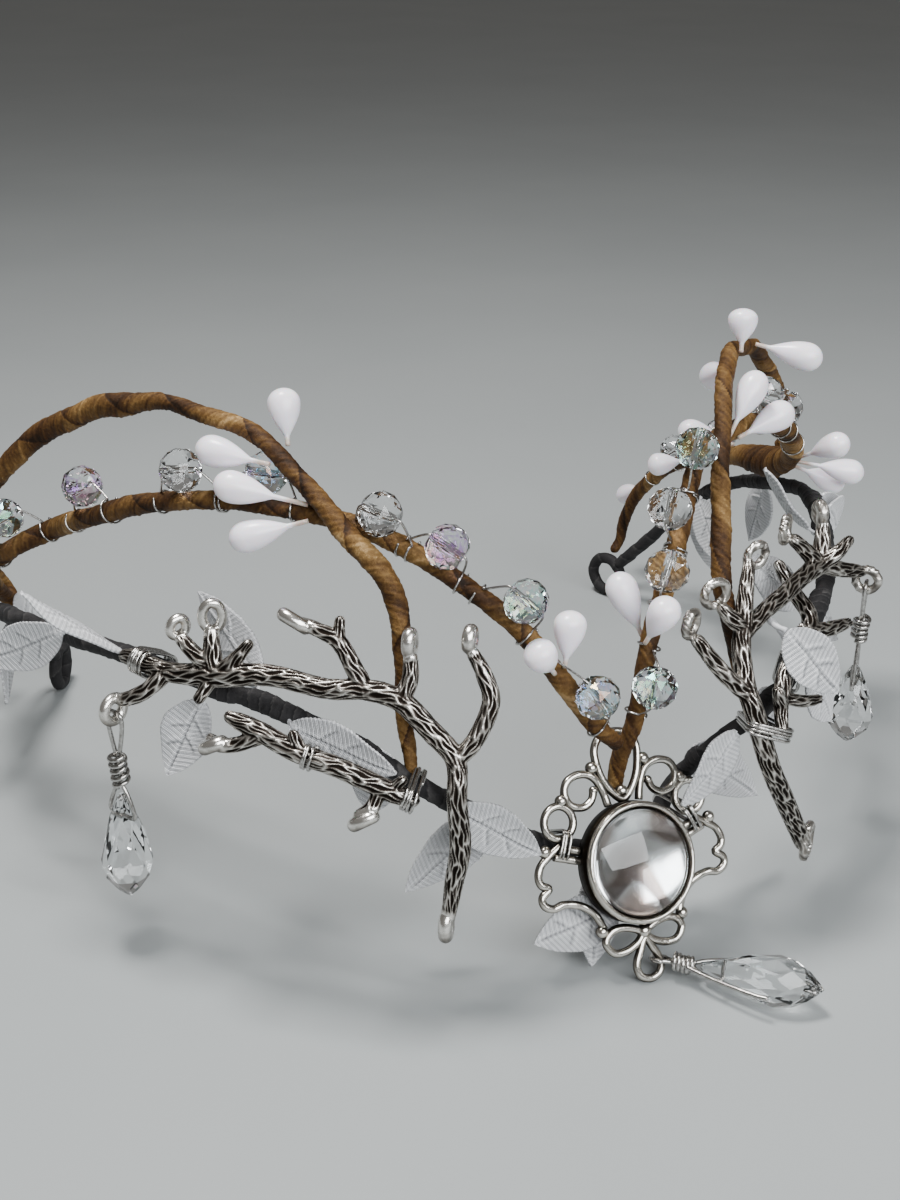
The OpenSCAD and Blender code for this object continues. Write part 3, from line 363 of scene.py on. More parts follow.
# Arches and bead stems: wires wound with brown crepe paper tape, creased, lapped in a long spiral,
# and thicker where pips' stalks are wound in. They rise from the head wire and the medallion.
arch_left_rows = [
    [-26.5, 48.8, 0, 1.1], [-27.3, 54, 0, 1.3], [-27.8, 62, 0, 1.6], [-28.6, 69, 0.4, 1.8],
    [-31, 75, 1.8, 1.8], [-36.5, 81, 2.6, 1.7], [-45, 87.5, 1.4, 1.6], [-54.5, 93, 1.5, 1.5],
    [-66, 94.5, 2.5, 1.4], [-78, 94, 3, 1.5], [-87, 91.5, 6, 2.1], [-92, 89, 8.5, 1.9],
    [-97.5, 82, 13, 2.2], [-100, 74, 16, 1.8], [-104, 64, 16, 1.7], [-108, 54, 13, 1.7],
    [-112, 44, 9.5, 1.6], [-114.5, 36, 6.4, 1.4]]
arch_right_rows = [
    [20, 48, -2.6, 1.3], [18.6, 54.4, -1, 1.4], [18, 62.5, 0.3, 1.6], [18.4, 68.8, 1.2, 1.7],
    [23.2, 82, 1.8, 1.6], [32, 93.6, 1.5, 1.6], [40.5, 97.4, 0.3, 1.5], [49.5, 97.6, -1, 1.5],
    [58, 96.4, -0.6, 1.5], [69, 93.5, 2, 1.5], [76, 88, 3.5, 1.6], [81, 81, 5.5, 1.6],
    [85, 73, 6.5, 1.6], [87, 68, 6.5, 1.4]]
stem_left_rows = [
    [0.2, 43, -6.5, 1.3], [-3.4, 48, -4, 1.6], [-8.2, 57.5, -2, 1.6], [-14.3, 67.5, 0, 1.7],
    [-23.5, 75, -0.8, 1.6], [-32, 79.3, -2, 1.6], [-45, 81.8, -2, 1.6], [-60, 81.5, -0.5, 1.5],
    [-70, 79, 0, 1.6], [-80, 75, 0.5, 2], [-88, 70.5, 1.5, 1.7], [-95.5, 64.5, 2.5, 1.9],
    [-98.6, 57.5, 9, 1.9], [-104, 49, 9.5, 1.7], [-110, 40, 6.5, 1.6], [-116, 28, 4, 1.6],
    [-119.5, 20, 3, 1.4]]
stem_right_rows = [
    [1.8, 30, -11.5, 1.3], [2, 37.5, -10.5, 1.4], [2.5, 44.5, -7.5, 1.5], [3.4, 51, -5, 1.6],
    [4.3, 57.5, -2.5, 1.6], [6.3, 64, -1, 1.6], [12.8, 74, -1, 1.7], [20.8, 82.2, -2.5, 1.6],
    [27.4, 85.6, -3.3, 1.5], [37, 86.4, -2.8, 1.6], [48, 85, -1.4, 1.7], [61, 80, 0.5, 1.8],
    [70, 74, 1.5, 1.9], [79, 66.5, 2, 2.1], [85.5, 62.5, 1, 3.3], [90, 60.5, 0, 3.5], [96, 58, -1, 2],
    [104, 51.5, 0, 1.6], [111, 44, 1.5, 1.6], [116.5, 34, 3, 1.6], [119, 24, 3.5, 1.5],
    [119.5, 18, 3, 1.3]]

brown_tape, tree, shader = new_material("Brown crepe paper tape", Roughness=0.6, Specular_IOR_Level=0.18)
where = place(tree)
broad = noise(tree, 75, 3, where)
streaks = noise(tree, 1500, 5, where, 0.65)
# The tone from the winding is added in, so the brown carries painted shade under each lap and in the creases'
# hollows and lighter creases' crowns. The broad patches and streaks are the paper's own.
tone = attribute(tree)
mixed = reckon(tree, "MULTIPLY_ADD", broad, 0.9, -0.42)
mixed = reckon(tree, "ADD", mixed, tone)
fine = reckon(tree, "MULTIPLY_ADD", streaks, 0.7, -0.35)
mixed = reckon(tree, "ADD", mixed, fine)
paint(tree, shader, ramp(tree, mixed, [(0.0, (0.01, 0.004, 0.001)), (0.34, (0.04, 0.017, 0.005)),
                                       (0.62, (0.1, 0.05, 0.014)), (0.86, (0.19, 0.108, 0.036)),
                                       (1.0, (0.33, 0.21, 0.09))]))
bump(tree, shader, streaks, 0.00022)

# Creases in the paper: size as a part of the radius, length, and whole turns. Past its rows, each wire
# runs on a little way under the tape, and the last number is the pitch of its winding.
crepe = [(0.06, 33, 0), (0.06, 17.3, 1), (0.03, 7.7, 2), (0.02, 3.7, 3), (0.018, 2.3, 4), (0.016, 1.53, 5),
         (0.018, 1.21, 6), (0.018, 0.93, 7), (0.016, 0.78, 6)]
brown_wires = [
    ("arch_left", [[-26.2, 44, 0, 1.0]] + arch_left_rows + [[-112.4, 30.6, 1.6, 1.2]], 15),
    ("arch_right", arch_right_rows + [[88.2, 63.8, 3.6, 1.2]], -17),
    ("stem_left", stem_left_rows + [[-120.6, 15.6, 0.3, 1.1]], 16),
    ("stem_right", stem_right_rows + [[119.8, 15.2, 0.4, 1.1]], -14)]
brown_path = {}
for k, (name, rows, pitch) in enumerate(brown_wires):
    path, s = route(rows, 0.25)
    brown_path[name] = path
    waves = [(size, length * (1 + 0.07 * k), turns, 2.4 * k + 1.7 * i)
             for i, (size, length, turns) in enumerate(crepe)]
    uneven = s + 2.2 * np.sin(s / 9 + k) + 0.9 * np.sin(s / 3.7 + 2 * k)
    rings, tone = wound_tape(path, s, 36, pitch, 0.1, waves, 0.05, uneven)
    made = piece(name + "_tape", shell(rings, tone), brown_tape)
    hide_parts(name)

# Leaves: ribbed silver-white cloth leaves with a pressed midrib and two pairs of side veins. Each
# leaf's flat stem lies along the head wire, bound on under the black tape. Rows are foot angle,
# height and out, tip angle, height and out, roll in degrees, and how far the stem runs along the wire.
leaves_left_rows = [
    [-16, 34.5, -5, -27, 19.5, -3.5, 0, 4], [-22, 41, 1.9, -11.8, 30.4, 2, 0, 4],
    [-30, 48.6, -3, -31, 35, -3.5, 0, -4], [-40.6, 52.6, 1.4, -27.6, 46.3, 2.2, 0, -4],
    [-46, 55, -3, -60.5, 66, -3.5, 0, 4], [-52, 53.1, 2, -54.8, 40, 2.2, 0, 4],
    [-65, 56.4, 1.8, -75, 67.3, 18.8, -50, -4], [-80, 54, 2, -87.5, 46.2, 11, -20, 4],
    [-97, 47, 2.6, -104, 37, -4, 0, 4], [-108, 34.6, 4.6, -99.5, 44, 8.6, 0, 4],
    [-111, 30.6, 2.8, -105.6, 16.4, 5.4, 0, 4]]
leaves_right_rows = [
    [15.2, 37.4, -12, 28, 20, -6, 0, -1],
    [21.8, 45, -3, 30.6, 33, -4.4, 0, 3], [28.4, 48.8, 2, 33.6, 36.2, 2.4, 0, 4],
    [40, 54, -3, 31, 66, -4, 0, 4], [47, 54, -1.6, 50, 41.5, -1.4, 0, 4],
    [62, 58, -3, 68, 69, -6, 0, 4], [70, 59, 2, 84, 46.3, 8, 30, -4],
    [77, 58.6, 3.6, 85, 43.2, 6.6, 60, -4], [95, 51.4, 2.9, 98, 33, 2.6, 0, -4],
    [104, 41, -3, 98, 29, -4.4, 0, -3], [108, 34.4, 2.4, 103, 19, 5, 0, -4]]
stalked_leaves = [
    [[[15.4, 38.6, -2.9], [14.7, 41, -1.2], [14, 44, 1]], [4.6, 35.2, 3], 0],
    [[[27.5, 48.4, 2.6], [27.8, 52, 1.2], [26.4, 57, 1], [23.4, 59.8, 2.8], [22, 60.2, 5.6], [22, 60, 8]],
        [25.6, 48.6, 10.8], 20]]
low_leaves = [
    [[[1.4, 19.8, -8.4], [1.1, 18.2, -6.4], [-0.4, 15.6, -2.8], [-1.8, 14.2, -1]], [-12, 10.7, 0.6], 28],
    [[[-1, 19.75, -8.7], [-1.3, 18.4, -8.3], [-1.6, 17, -7.9]], [-5.3, 4.8, 1.8], 0]]
leaf_w = 9.2
leaf_thick = 0.45
cloth_lift = 0.5
leaf_lengthwise = np.linspace(0, 1, 127)
rib_pitch = 0.85
leaf_crosswise = np.linspace(-1, 1, 27)
leaf_outline = smooth([[0, 0.16], [0.05, 0.4], [0.13, 0.66], [0.32, 0.97], [0.45, 1], [0.56, 0.95],
                       [0.8, 0.58], [0.93, 0.24], [1, 0.03]], 8)


def foot_on(path, c):
    """The point of a path that is nearest to c, with its radius, and the path's direction there."""
    i = int(np.clip(np.argmin(np.linalg.norm(path[:, :3] - c, axis=1)), 1, len(path) - 2))
    return path[i], unit(path[i + 1, :3] - path[i - 1, :3])


def seated(path, c, clear):
    """The point a clearance off a wire's surface, on the line from the nearest point of it to c."""
    foot = foot_on(path, c)[0]
    return foot[:3] + unit(c - foot[:3]) * (foot[3] + clear)


def leaf_face(p, q, roll, inner):
    """The way a leaf's face looks: away from the head and across the leaf, then turned by roll."""
    t = unit(q - p)
    outward = (-1 if inner else 1) * (p + np.array([middle[0], middle[1], -p[2]]))
    outward = unit(outward - (outward @ t) * t)
    return outward * np.cos(np.radians(roll)) + np.cross(t, outward) * np.sin(np.radians(roll))


def leaf_skin(p, q, n, start, curl):
    """A leaf from p to q, u along and v across from -1 to 1: half width by the outline with fine teeth,
    bowed by 0.4 sin(pi u), edges raised by v squared, twisted and waved a little by curl. The midrib at
    v = 0 and the veins at u = place + 0.2 |v| are pressed in by a bell curve, with a soft lip beside, and
    the ribs are a sine of the length, bent back a little towards the edges."""
    u, v = np.meshgrid(leaf_lengthwise, leaf_crosswise, indexing="ij")
    length = np.linalg.norm(q - p)
    t = unit(q - p)
    side = np.cross(n, t)
    station = np.interp(u, leaf_outline[:, 0], leaf_outline[:, 1])
    teeth = 1 + 0.05 * np.abs(v) ** 8 * (np.abs(2 * ((u * 30 + start) % 1) - 1) - 0.5)
    across = v * station * leaf_w / 2 * teeth
    lift = cloth_lift + 0.4 * np.sin(np.pi * u) + 0.4 * station * v ** 2
    lift = lift + curl * 0.3 * np.sin(2 * np.pi * u + start) * v * station
    lift = lift + 0.18 * np.sin(9 * u + start * 2) * np.abs(v) ** 3
    midrib = across + 0.12 * np.sin(3 * np.pi * u + start)
    press = 0.34 * np.exp(-(midrib / 0.2) ** 2)
    press = press * np.clip((0.93 - u) / 0.05, 0, 1) * np.clip((u - 0.12) / 0.06, 0, 1)
    lip = 0.16 * np.exp(-((np.abs(midrib) - 0.5) / 0.3) ** 2)
    for first, hand in ((0.27, 1), (0.36, -1), (0.5, 1), (0.58, -1)):
        away = (u - first - 0.035 * start - 0.19 * np.abs(v) ** 1.2) * length * 0.72
        on = np.clip(v * hand * 12, 0, 1) * np.clip((0.74 - np.abs(v)) / 0.1, 0, 1)
        press = press + 0.28 * on * np.exp(-(away / 0.2) ** 2)
        lip = lip + 0.14 * on * np.exp(-((away + 0.5) / 0.3) ** 2)
    along = u * length + 0.3 * np.abs(across) + 0.15 * across
    rib = np.sin(2 * np.pi * along / rib_pitch)
    height = lift - press + lip + 0.065 * rib * np.clip(20 * (1 - np.abs(v)), 0, 1)
    middle_of = p + (q - p) * u[..., None] + side * across[..., None]
    top = middle_of + n * (height + leaf_thick / 2)[..., None]
    under = middle_of + n * (height - leaf_thick / 2)[..., None]
    rings = np.concatenate([top[:, ::-1], under], 1)
    # Painted light and shade: darker in the pressed midrib and veins, lighter on their lips and on the ribs'
    # crowns.
    shade = np.clip(0.7 + 0.17 * rib - 1.3 * press + 1.2 * lip, 0, 1)
    uv = np.stack([along / 10, across / 10], -1)
    skin = shell(rings, np.concatenate([shade[:, ::-1], shade], 1))
    pattern = np.concatenate([uv[:, ::-1], uv], 1).reshape(-1, 2)
    return skin, np.vstack([pattern, pattern[:1], pattern[-1:]])


def strap(points, face, half, thick):
    """A flat stem: a rounded band of a half width and thickness along points, flat to the face."""
    p = evened(smooth(points, 8), 0.35)[0]
    t = unit(np.gradient(p, axis=0))
    s = unit(np.cross(face, t))
    a = circle(10)[None, :, None]
    return p[:, None] + s[:, None] * half * np.cos(a) + np.cross(t, s)[:, None] * thick / 2 * np.sin(a)


leaf_cloth, tree, shader = new_material("Ribbed silver cloth", Roughness=0.46, Specular_IOR_Level=0.55,
                                        Sheen_Weight=0.3, Sheen_Roughness=0.4)
sheet_place = add(tree, "UVMap", {"uv_map": "UVMap"}).outputs["UV"]
wander = add(tree, "TexNoise", inputs={"Vector": sheet_place, "Scale": 9.0, "Detail": 3.0}).outputs["Color"]
shift = add(tree, "VectorMath", {"operation": "SCALE"}, {0: wander, "Scale": 0.012}).outputs[0]
ribs_at = add(tree, "VectorMath", {"operation": "ADD"}, {0: sheet_place, 1: shift}).outputs[0]
ribs = add(tree, "TexWave", {"wave_type": "BANDS", "bands_direction": "X", "wave_profile": "SIN"},
           {"Vector": ribs_at, "Scale": 12.0, "Distortion": 0.0}).outputs["Fac"]
threads = add(tree, "TexWave", {"wave_type": "BANDS", "bands_direction": "Y", "wave_profile": "SIN"},
              {"Vector": ribs_at, "Scale": 11.0, "Distortion": 1.5, "Detail": 2.0}).outputs["Fac"]
weave = reckon(tree, "MULTIPLY_ADD", threads, 0.4, ribs)
pits = add(tree, "TexVoronoi", {"feature": "F1"}, {"Vector": ribs_at, "Scale": 17.0, "Randomness": 1.0})
speck = ramp(tree, pits.outputs["Distance"], [(0.1, (0.42, 0.42, 0.43)), (0.2, 1.0)])
# Painted light and shade: the tone darkens the pressed veins and lightens their lips and ribs. The ribbed
# pattern is partly the weave's own threads and partly painted shade in the grooves between ribs. The specks
# are the cloth's own.
vein_light_and_shade = ramp(tree, attribute(tree), [(0.2, (0.26, 0.265, 0.275)), (0.7, (0.7, 0.71, 0.735)),
                                         (0.95, (0.93, 0.94, 0.96))])
ribbed = ramp(tree, weave, [(0.1, (0.7, 0.7, 0.71)), (0.9, 1.0)])
leaf_light_and_shade = blend(tree, "MULTIPLY", 1.0, vein_light_and_shade, ribbed)
paint(tree, shader, blend(tree, "MULTIPLY", 0.75, leaf_light_and_shade, speck))
bump(tree, shader, weave, 0.00016, 0.9)

for name, rows, stalked in (("left", leaves_left_rows, low_leaves),
                            ("right", leaves_right_rows, stalked_leaves)):
    skins, patterns, tapes = [], [], []
    for k, row in enumerate(rows):
        c = seated(base_path, spot(row[:3]), 0.85)
        q = spot(row[3:6])
        way = unit(q - c)
        n = leaf_face(c, q, row[6], row[2] < 0)
        foot, direction = foot_on(base_path, c)
        along = direction * row[7]
        skin, pattern = leaf_skin(c + way * 0.8, q, n, 0.9 * np.sin(2.3 * k), (-1) ** k)
        skins.append(skin)
        patterns.append(pattern)
        toward = unit(c + n * 0.4 - foot[:3])
        low = foot[:3] + toward * (base_r + 0.25)
        lie = [low + along, low + along * 0.5, low + toward * 0.2,
               c + way * 1.1 + n * 0.6, c + way * 2.2 + n * 0.8]
        band = strap(lie, n, 0.5, 0.6)
        skins.append(shell(band, 0.6))
        patterns.append(np.zeros((band.shape[0] * band.shape[1] + 2, 2)))
        middle_at = int(np.argmin(np.linalg.norm(base_path[:, :3] - (foot[:3] + along * 0.55), axis=1)))
        reach = max(int((abs(row[7]) * 0.5 + 1.2) / 0.4), 4)
        first = max(middle_at - reach, 1)
        last = min(middle_at + reach, len(base_path) - 2)
        part = smooth(base_path[first:last + 1, :3], 2)
        t, s, o = sides_of(part)
        bearing = np.arctan2(o @ toward, s @ toward)[:, None]
        a = circle(26)[None, :]
        off = (a - bearing + np.pi) % (2 * np.pi) - np.pi
        u = np.linspace(0, 1, len(part))[:, None]
        swell = np.sin(np.pi * u) ** 0.35
        lap = (u * 3.2 + 0.13 * k - a / (2 * np.pi)) % 1
        radius = base_r + 0.04 + swell * (0.14 + 0.72 * np.exp(-(off / 0.5) ** 2) + 0.13 * (1 - lap) ** 2)
        # Painted light and shade on the wrap: a lighter raised edge and a painted shadow under each
        # overlapping turn.
        tapes.append(shell(around(part, radius, 26), painted_lap_shading(lap, 0.5, 0.4)))
    for k, row in enumerate(stalked):
        stalk = route([[*point, 0.5] for point in row[0]], 0.3)[0]
        p = spot(row[0][-1])
        q = spot(row[1])
        skin, pattern = leaf_skin(p, q, leaf_face(p, q, row[2], False), 0.4 + k, 1)
        tube_rings = around(stalk, 0.5 + 0.05 * np.sin(np.arange(len(stalk)) * 1.1)[:, None], 12)
        skins += [skin, shell(tube_rings, 0.6)]
        patterns += [pattern, np.zeros((tube_rings.shape[0] * 12 + 2, 2))]
    leaves = piece("leaves_" + name + "_cloth", joined(skins), leaf_cloth, uv=np.vstack(patterns))
    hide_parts("leaves_" + name)
    tape = piece("leaf_tape_" + name, joined(tapes), black_tape)

# Twig castings: antique silver zinc twigs whose bark is a net of bright ridges round black hollows,
# each branch ending in a smooth loop. Cast in one piece, and tied to the wires with thin wire.
twig_left_upper_rows = [
    [[-22, 21.2, 5.4, 1.2], [-21.4, 28, 5.2, 1.6], [-20.8, 35, 5.2, 1.8], [-21.2, 43, 5.5, 1.7],
     [-21.4, 49.5, 5.2, 1.7], [-24.2, 54, 5, 1.8], [-27.6, 58.2, 5, 1.8], [-31.6, 59.6, 5, 1.8],
     [-36, 59.3, 5, 1.7], [-43, 60.2, 5, 1.8], [-50, 58.8, 5.2, 2], [-56.5, 57.5, 5.2, 1.7],
     [-61.5, 57.8, 5.2, 1.6], [-63.5, 57.6, 5.2, 1.2]],
    [[-21.4, 49.5, 5.2, 1.5], [-19.3, 52.6, 5.5, 1.5], [-17.6, 58, 6, 1.5], [-18.2, 62, 6, 1.4],
     [-19.4, 65, 5.5, 1.1]],
    [[-27.6, 58.2, 5, 1.6], [-26.6, 61.2, 5.2, 1.4], [-26.6, 64.5, 5.5, 1.2]],
    [[-31.6, 59.6, 5, 1.7], [-33, 62.3, 5, 1.5], [-35.2, 66.4, 5.5, 1.4], [-38.2, 68.2, 6, 1.2],
     [-40.2, 68.4, 5.1, 1]],
    [[-35.2, 66.4, 5.5, 1.1], [-35.3, 69.6, 6, 0.9]],
    [[-50, 58.8, 5.2, 1.7], [-50.8, 63, 6, 1.5], [-51.2, 65.5, 6.5, 1.2]],
    [[-50.4, 60, 5.2, 1.4], [-52.2, 61.5, 6.5, 1.4], [-54.6, 63.5, 7, 1.2]],
    [[-50, 58.8, 5.2, 1.4], [-47.8, 61.5, 6, 1.3], [-46, 64.8, 6.5, 0.9]],
    [[-50, 58.8, 5.2, 1.3], [-50.8, 55.6, 6.5, 1]],
    [[-56.5, 57.5, 5.2, 1.5], [-58, 54.6, 6.8, 1.4], [-60, 52.8, 7.3, 1.3], [-61.2, 52.4, 7.5, 1]]]
twig_left_lower_rows = [
    [[-46, 54.6, 8, 1.1], [-44.6, 53.8, 7.4, 1.5], [-42, 52.4, 6.8, 1.7], [-38, 50.3, 6.7, 1.7],
     [-33.5, 48.6, 6.5, 1.7], [-28.1, 45.2, 6, 1.7], [-25.8, 44, 6, 1.3]],
    [[-42, 52.4, 6.8, 1.4], [-44.5, 50.6, 7, 1.3], [-46.6, 49.8, 7.2, 1.2], [-48.2, 50.1, 6.6, 1]],
    [[-37.6, 50.2, 6.6, 1.3], [-38.6, 53.2, 7.6, 1]],
    [[-28.1, 45.2, 5.8, 1.2], [-26.8, 47.4, 7, 0.9]],
    [[-29, 45.7, 5.8, 1.2], [-29.8, 43, 6.8, 1.2], [-31, 41.6, 7, 1.1]]]
twig_right_upper_rows = [
    [[25, 17, 6, 1.6], [20.8, 28, 5.4, 1.8], [17, 38, 5.2, 1.8], [15.4, 48, 4.8, 1.8],
     [15.2, 52, 4.5, 1.7], [15.9, 57.5, 4.2, 1.7], [17.4, 61, 4, 1.6]],
    [[15.2, 51, 4.6, 1.6], [13, 54.4, 4.2, 1.5], [11.4, 57.4, 4, 1.4], [9.6, 61.4, 4, 1.2]],
    [[17.4, 61, 4, 1.6], [15.8, 63.2, 4, 1.4], [14.8, 65, 4, 1.1]],
    [[17.4, 61, 4, 1.6], [19.2, 65, 4, 1.5], [21.2, 68.6, 4, 1.2], [22.4, 69.6, 3.4, 1]],
    [[16.8, 60, 4.1, 1.5], [21.9, 61.9, 4, 1.5], [28, 62.9, 4, 1.6], [33.3, 63.4, 4, 1.6],
     [38.8, 63.2, 4.2, 2]],
    [[38.8, 63.2, 4.2, 1.7], [36.4, 66.6, 4.2, 1.5], [34.4, 69.4, 4, 1.2]],
    [[38.8, 63.2, 4.2, 1.7], [40.6, 66.6, 5.4, 1.6], [42, 69.6, 6.2, 1.2]],
    [[38.8, 63.2, 4.2, 1.6], [39.8, 65, 7.4, 1.4], [42.6, 66.8, 9.8, 1]],
    [[38.8, 63.2, 4.2, 1.7], [42.6, 60.8, 6.2, 1.5], [45.6, 59.2, 7.6, 1.3], [46.9, 58.5, 8, 1]]]
twig_right_lower_rows = [
    [[18, 44.4, 6.8, 1.1], [19.2, 49.2, 6.2, 1.4], [21.9, 52.2, 5.4, 1.6], [25.7, 54.6, 5, 1.7],
     [28.8, 56, 5, 1.6], [31.4, 57.6, 4, 1.5], [33, 60, 1.2, 1.4], [34, 64, -0.8, 1.1]],
    [[18.9, 48.2, 6.4, 1.3], [18, 51.6, 7.8, 1.1]],
    [[19.3, 49.4, 6.2, 1.2], [22.4, 47.6, 7, 1.1], [25.2, 46.6, 7.2, 0.9]],
    [[28.8, 56, 5, 1.5], [33.4, 54.6, 6, 1.4], [38, 53.3, 6.4, 1]],
    [[27.4, 55.4, 5, 1.3], [26.4, 58, 6.4, 1]]]
tips_left_upper = [
    [-19.8, 67.2, 5.3, 70, 20, 5, 3.4, 0], [-26.8, 66.8, 5.6, 80, 0, 5.4, 3.4, 0],
    [-40.8, 69, 6.2, 182.5, 63, 6.4, 3.2, -58], [-51.4, 68, 7, 40, 0, 6.4, 4.2, 0],
    [-55.6, 65.4, 7.4, 60, 20, 4.8, 3.6, 0], [-22.2, 19.4, 5.6, 75, 0, 6, 3.4, 0]]
tips_left_lower = [
    [-47.6, 49.6, 7.2, 182.6, 120, 5.8, 3.2, -75], [-30.6, 40.8, 7, 182.3, 121, 5.8, 3.2, -65]]
tips_right_upper = [
    [9.2, 64.2, 4, 20, 15, 5.8, 4.6, 0], [14.4, 67.4, 3.8, -10, -10, 6, 5.6, 0],
    [24, 70.6, 4, -15, -30, 5.6, 5.2, 0], [33, 71.8, 4, 10, 20, 6, 5.4, 0],
    [42.3, 71.6, 6.4, 40, 0, 5, 3.4, 0], [25.6, 17, 6.4, 15, 20, 7.8, 5.4, 0]]
eye_rows = [[-61.5, 50.6, 7.6], [47.2, 56.7, 8.2]]
slim_tip_r = 1.15
open_tip_r = 0.82
eye_r = 2.1
eye_wire_r = 0.9
bark_cell = [4.2, 0.7]
bark_depth = 0.3
bark_step = 0.175


def eye_point(k):
    """The middle of the eye that carries a side drop."""
    return spot(eye_rows[k])


def eye_axis(k):
    """The level way along the head at an eye, which its hole follows."""
    a, z = eye_rows[k][:2]
    way = spot([a + 1, z, 0]) - spot([a - 1, z, 0])
    return unit([way[0], way[1], 0])


def turned_about(v, axis, degrees):
    """Vectors turned about the X, Y or Z axis."""
    c, s = np.cos(np.radians(degrees)), np.sin(np.radians(degrees))
    i, j = {"x": (1, 2), "y": (2, 0), "z": (0, 1)}[axis]
    out = np.array(v, float)
    out[..., i], out[..., j] = c * v[..., i] - s * v[..., j], s * v[..., i] + c * v[..., j]
    return out


def tip_radius(row):
    """The wire's radius of a tip loop: thick in a slim closed tip, thin in an open one."""
    return slim_tip_r if row[6] < 3.5 else open_tip_r


def tip_loop(row):
    """Middle line of an oval tip loop, upright, then turned about its length, down and round by its row."""
    turn = np.linspace(0, 2 * np.pi, 33)[:-1]
    tip_r = tip_radius(row)
    wide, tall = row[6] / 2 - tip_r * 0.55, row[5] / 2 - tip_r
    flat = np.column_stack([wide * np.cos(turn), 0 * turn, tall * np.sin(turn)])
    flat = turned_about(turned_about(flat, "z", row[7]), "y", row[4])
    return spot(row[:3]) + turned_about(flat, "z", row[0] + row[3])


def hoop(points, radius, sides):
    """Rings of a closed round hoop through points that lie in a plane."""
    n = unit(np.cross(points[1] - points[0], points[2] - points[1]))
    t = unit(np.roll(points, -1, 0) - np.roll(points, 1, 0))
    q = np.cross(t, n)
    a = circle(sides)
    radius = np.broadcast_to(radius, (len(points), sides))[:, :, None]
    return points[:, None] + radius * (n * np.cos(a)[None, :, None] + q[:, None] * np.sin(a)[None, :, None])


def dome_ends(path, steps=5):
    """The path with half a ball's rings added at each end."""
    t = unit(np.gradient(path[:, :3], axis=0))
    a = np.linspace(0, 0.48 * np.pi, steps)[1:]
    ends = [np.column_stack([path[k, :3] + way * t[k] * np.outer(np.sin(a), path[k, 3]),
                             path[k, 3] * np.cos(a)]) for k, way in ((0, -1), (-1, 1))]
    return np.vstack([ends[0][::-1], path, ends[1]])


def bark_height(s, angle, girth, seed):
    """Bark at length s and angle: long cells, jittered and waved. 0 in a cell, rising to 1 on the ridge
    halfway between the two nearest cell middles. Jitter is the broken part of a large sine."""
    count = max(int(round(girth / bark_cell[1])), 7)
    x = s / bark_cell[0] + 0.1 * np.sin(3 * angle + s)
    y = angle / (2 * np.pi) * count + 0.28 * np.sin(s / 1.3 + seed) + 0.16 * np.sin(s / 0.55 + 2 * angle)
    y = y % count
    column, line = np.floor(y), np.floor(x)
    near = np.full((2, len(s)), 9.0)
    for dx in (-1, 0, 1):
        for dy in (-1, 0, 1):
            i, j = line + dx, (column + dy) % count
            jitter = 43758.5453 * np.sin(np.outer([127.1, 311.7], i) + np.outer([269.5, 183.3], j) + seed)
            jitter = jitter - np.floor(jitter) - 0.5
            away_x = i + 0.5 + 0.5 * (j % 2) + 0.85 * jitter[0] - x
            away_y = column + dy + 0.5 + 0.7 * jitter[1] - y
            near = np.sort(np.vstack([near, np.hypot(away_x, 0.9 * away_y)]), 0)[:2]
    return np.clip(1.1 - (near[1] - near[0]) / 0.46, 0, 1)


def solid_skin(name, skins):
    """Several overlapping skins fused into one closed skin of even small faces."""
    rough = piece(name, joined(skins), dark_silver)
    fuse = rough.modifiers.new("fuse", "REMESH")
    fuse.mode = "VOXEL"
    fuse.voxel_size = bark_step / 1000
    fuse.use_smooth_shade = True
    ease = rough.modifiers.new("ease", "SMOOTH")
    ease.iterations = 4
    ease.factor = 0.5
    bpy.context.view_layer.update()
    made = rough.evaluated_get(bpy.context.evaluated_depsgraph_get()).to_mesh()
    points = np.empty(len(made.vertices) * 3, np.float32)
    made.vertices.foreach_get("co", points)
    normals = np.empty(len(made.vertices) * 3, np.float32)
    made.vertices.foreach_get("normal", normals)
    sizes = np.empty(len(made.polygons), np.int32)
    made.polygons.foreach_get("loop_total", sizes)
    corners = np.empty(len(made.loops), np.int32)
    made.loops.foreach_get("vertex_index", corners)
    starts = np.r_[0, np.cumsum(sizes)[:-1]]
    quads = corners[starts[sizes == 4][:, None] + np.arange(4)]
    fans = corners[starts[sizes == 3][:, None] + np.arange(3)]
    rough.to_mesh_clear()
    old = rough.data
    bpy.data.objects.remove(rough)
    bpy.data.meshes.remove(old)
    return points.reshape(-1, 3).astype(float) * 1000, normals.reshape(-1, 3).astype(float), quads, fans


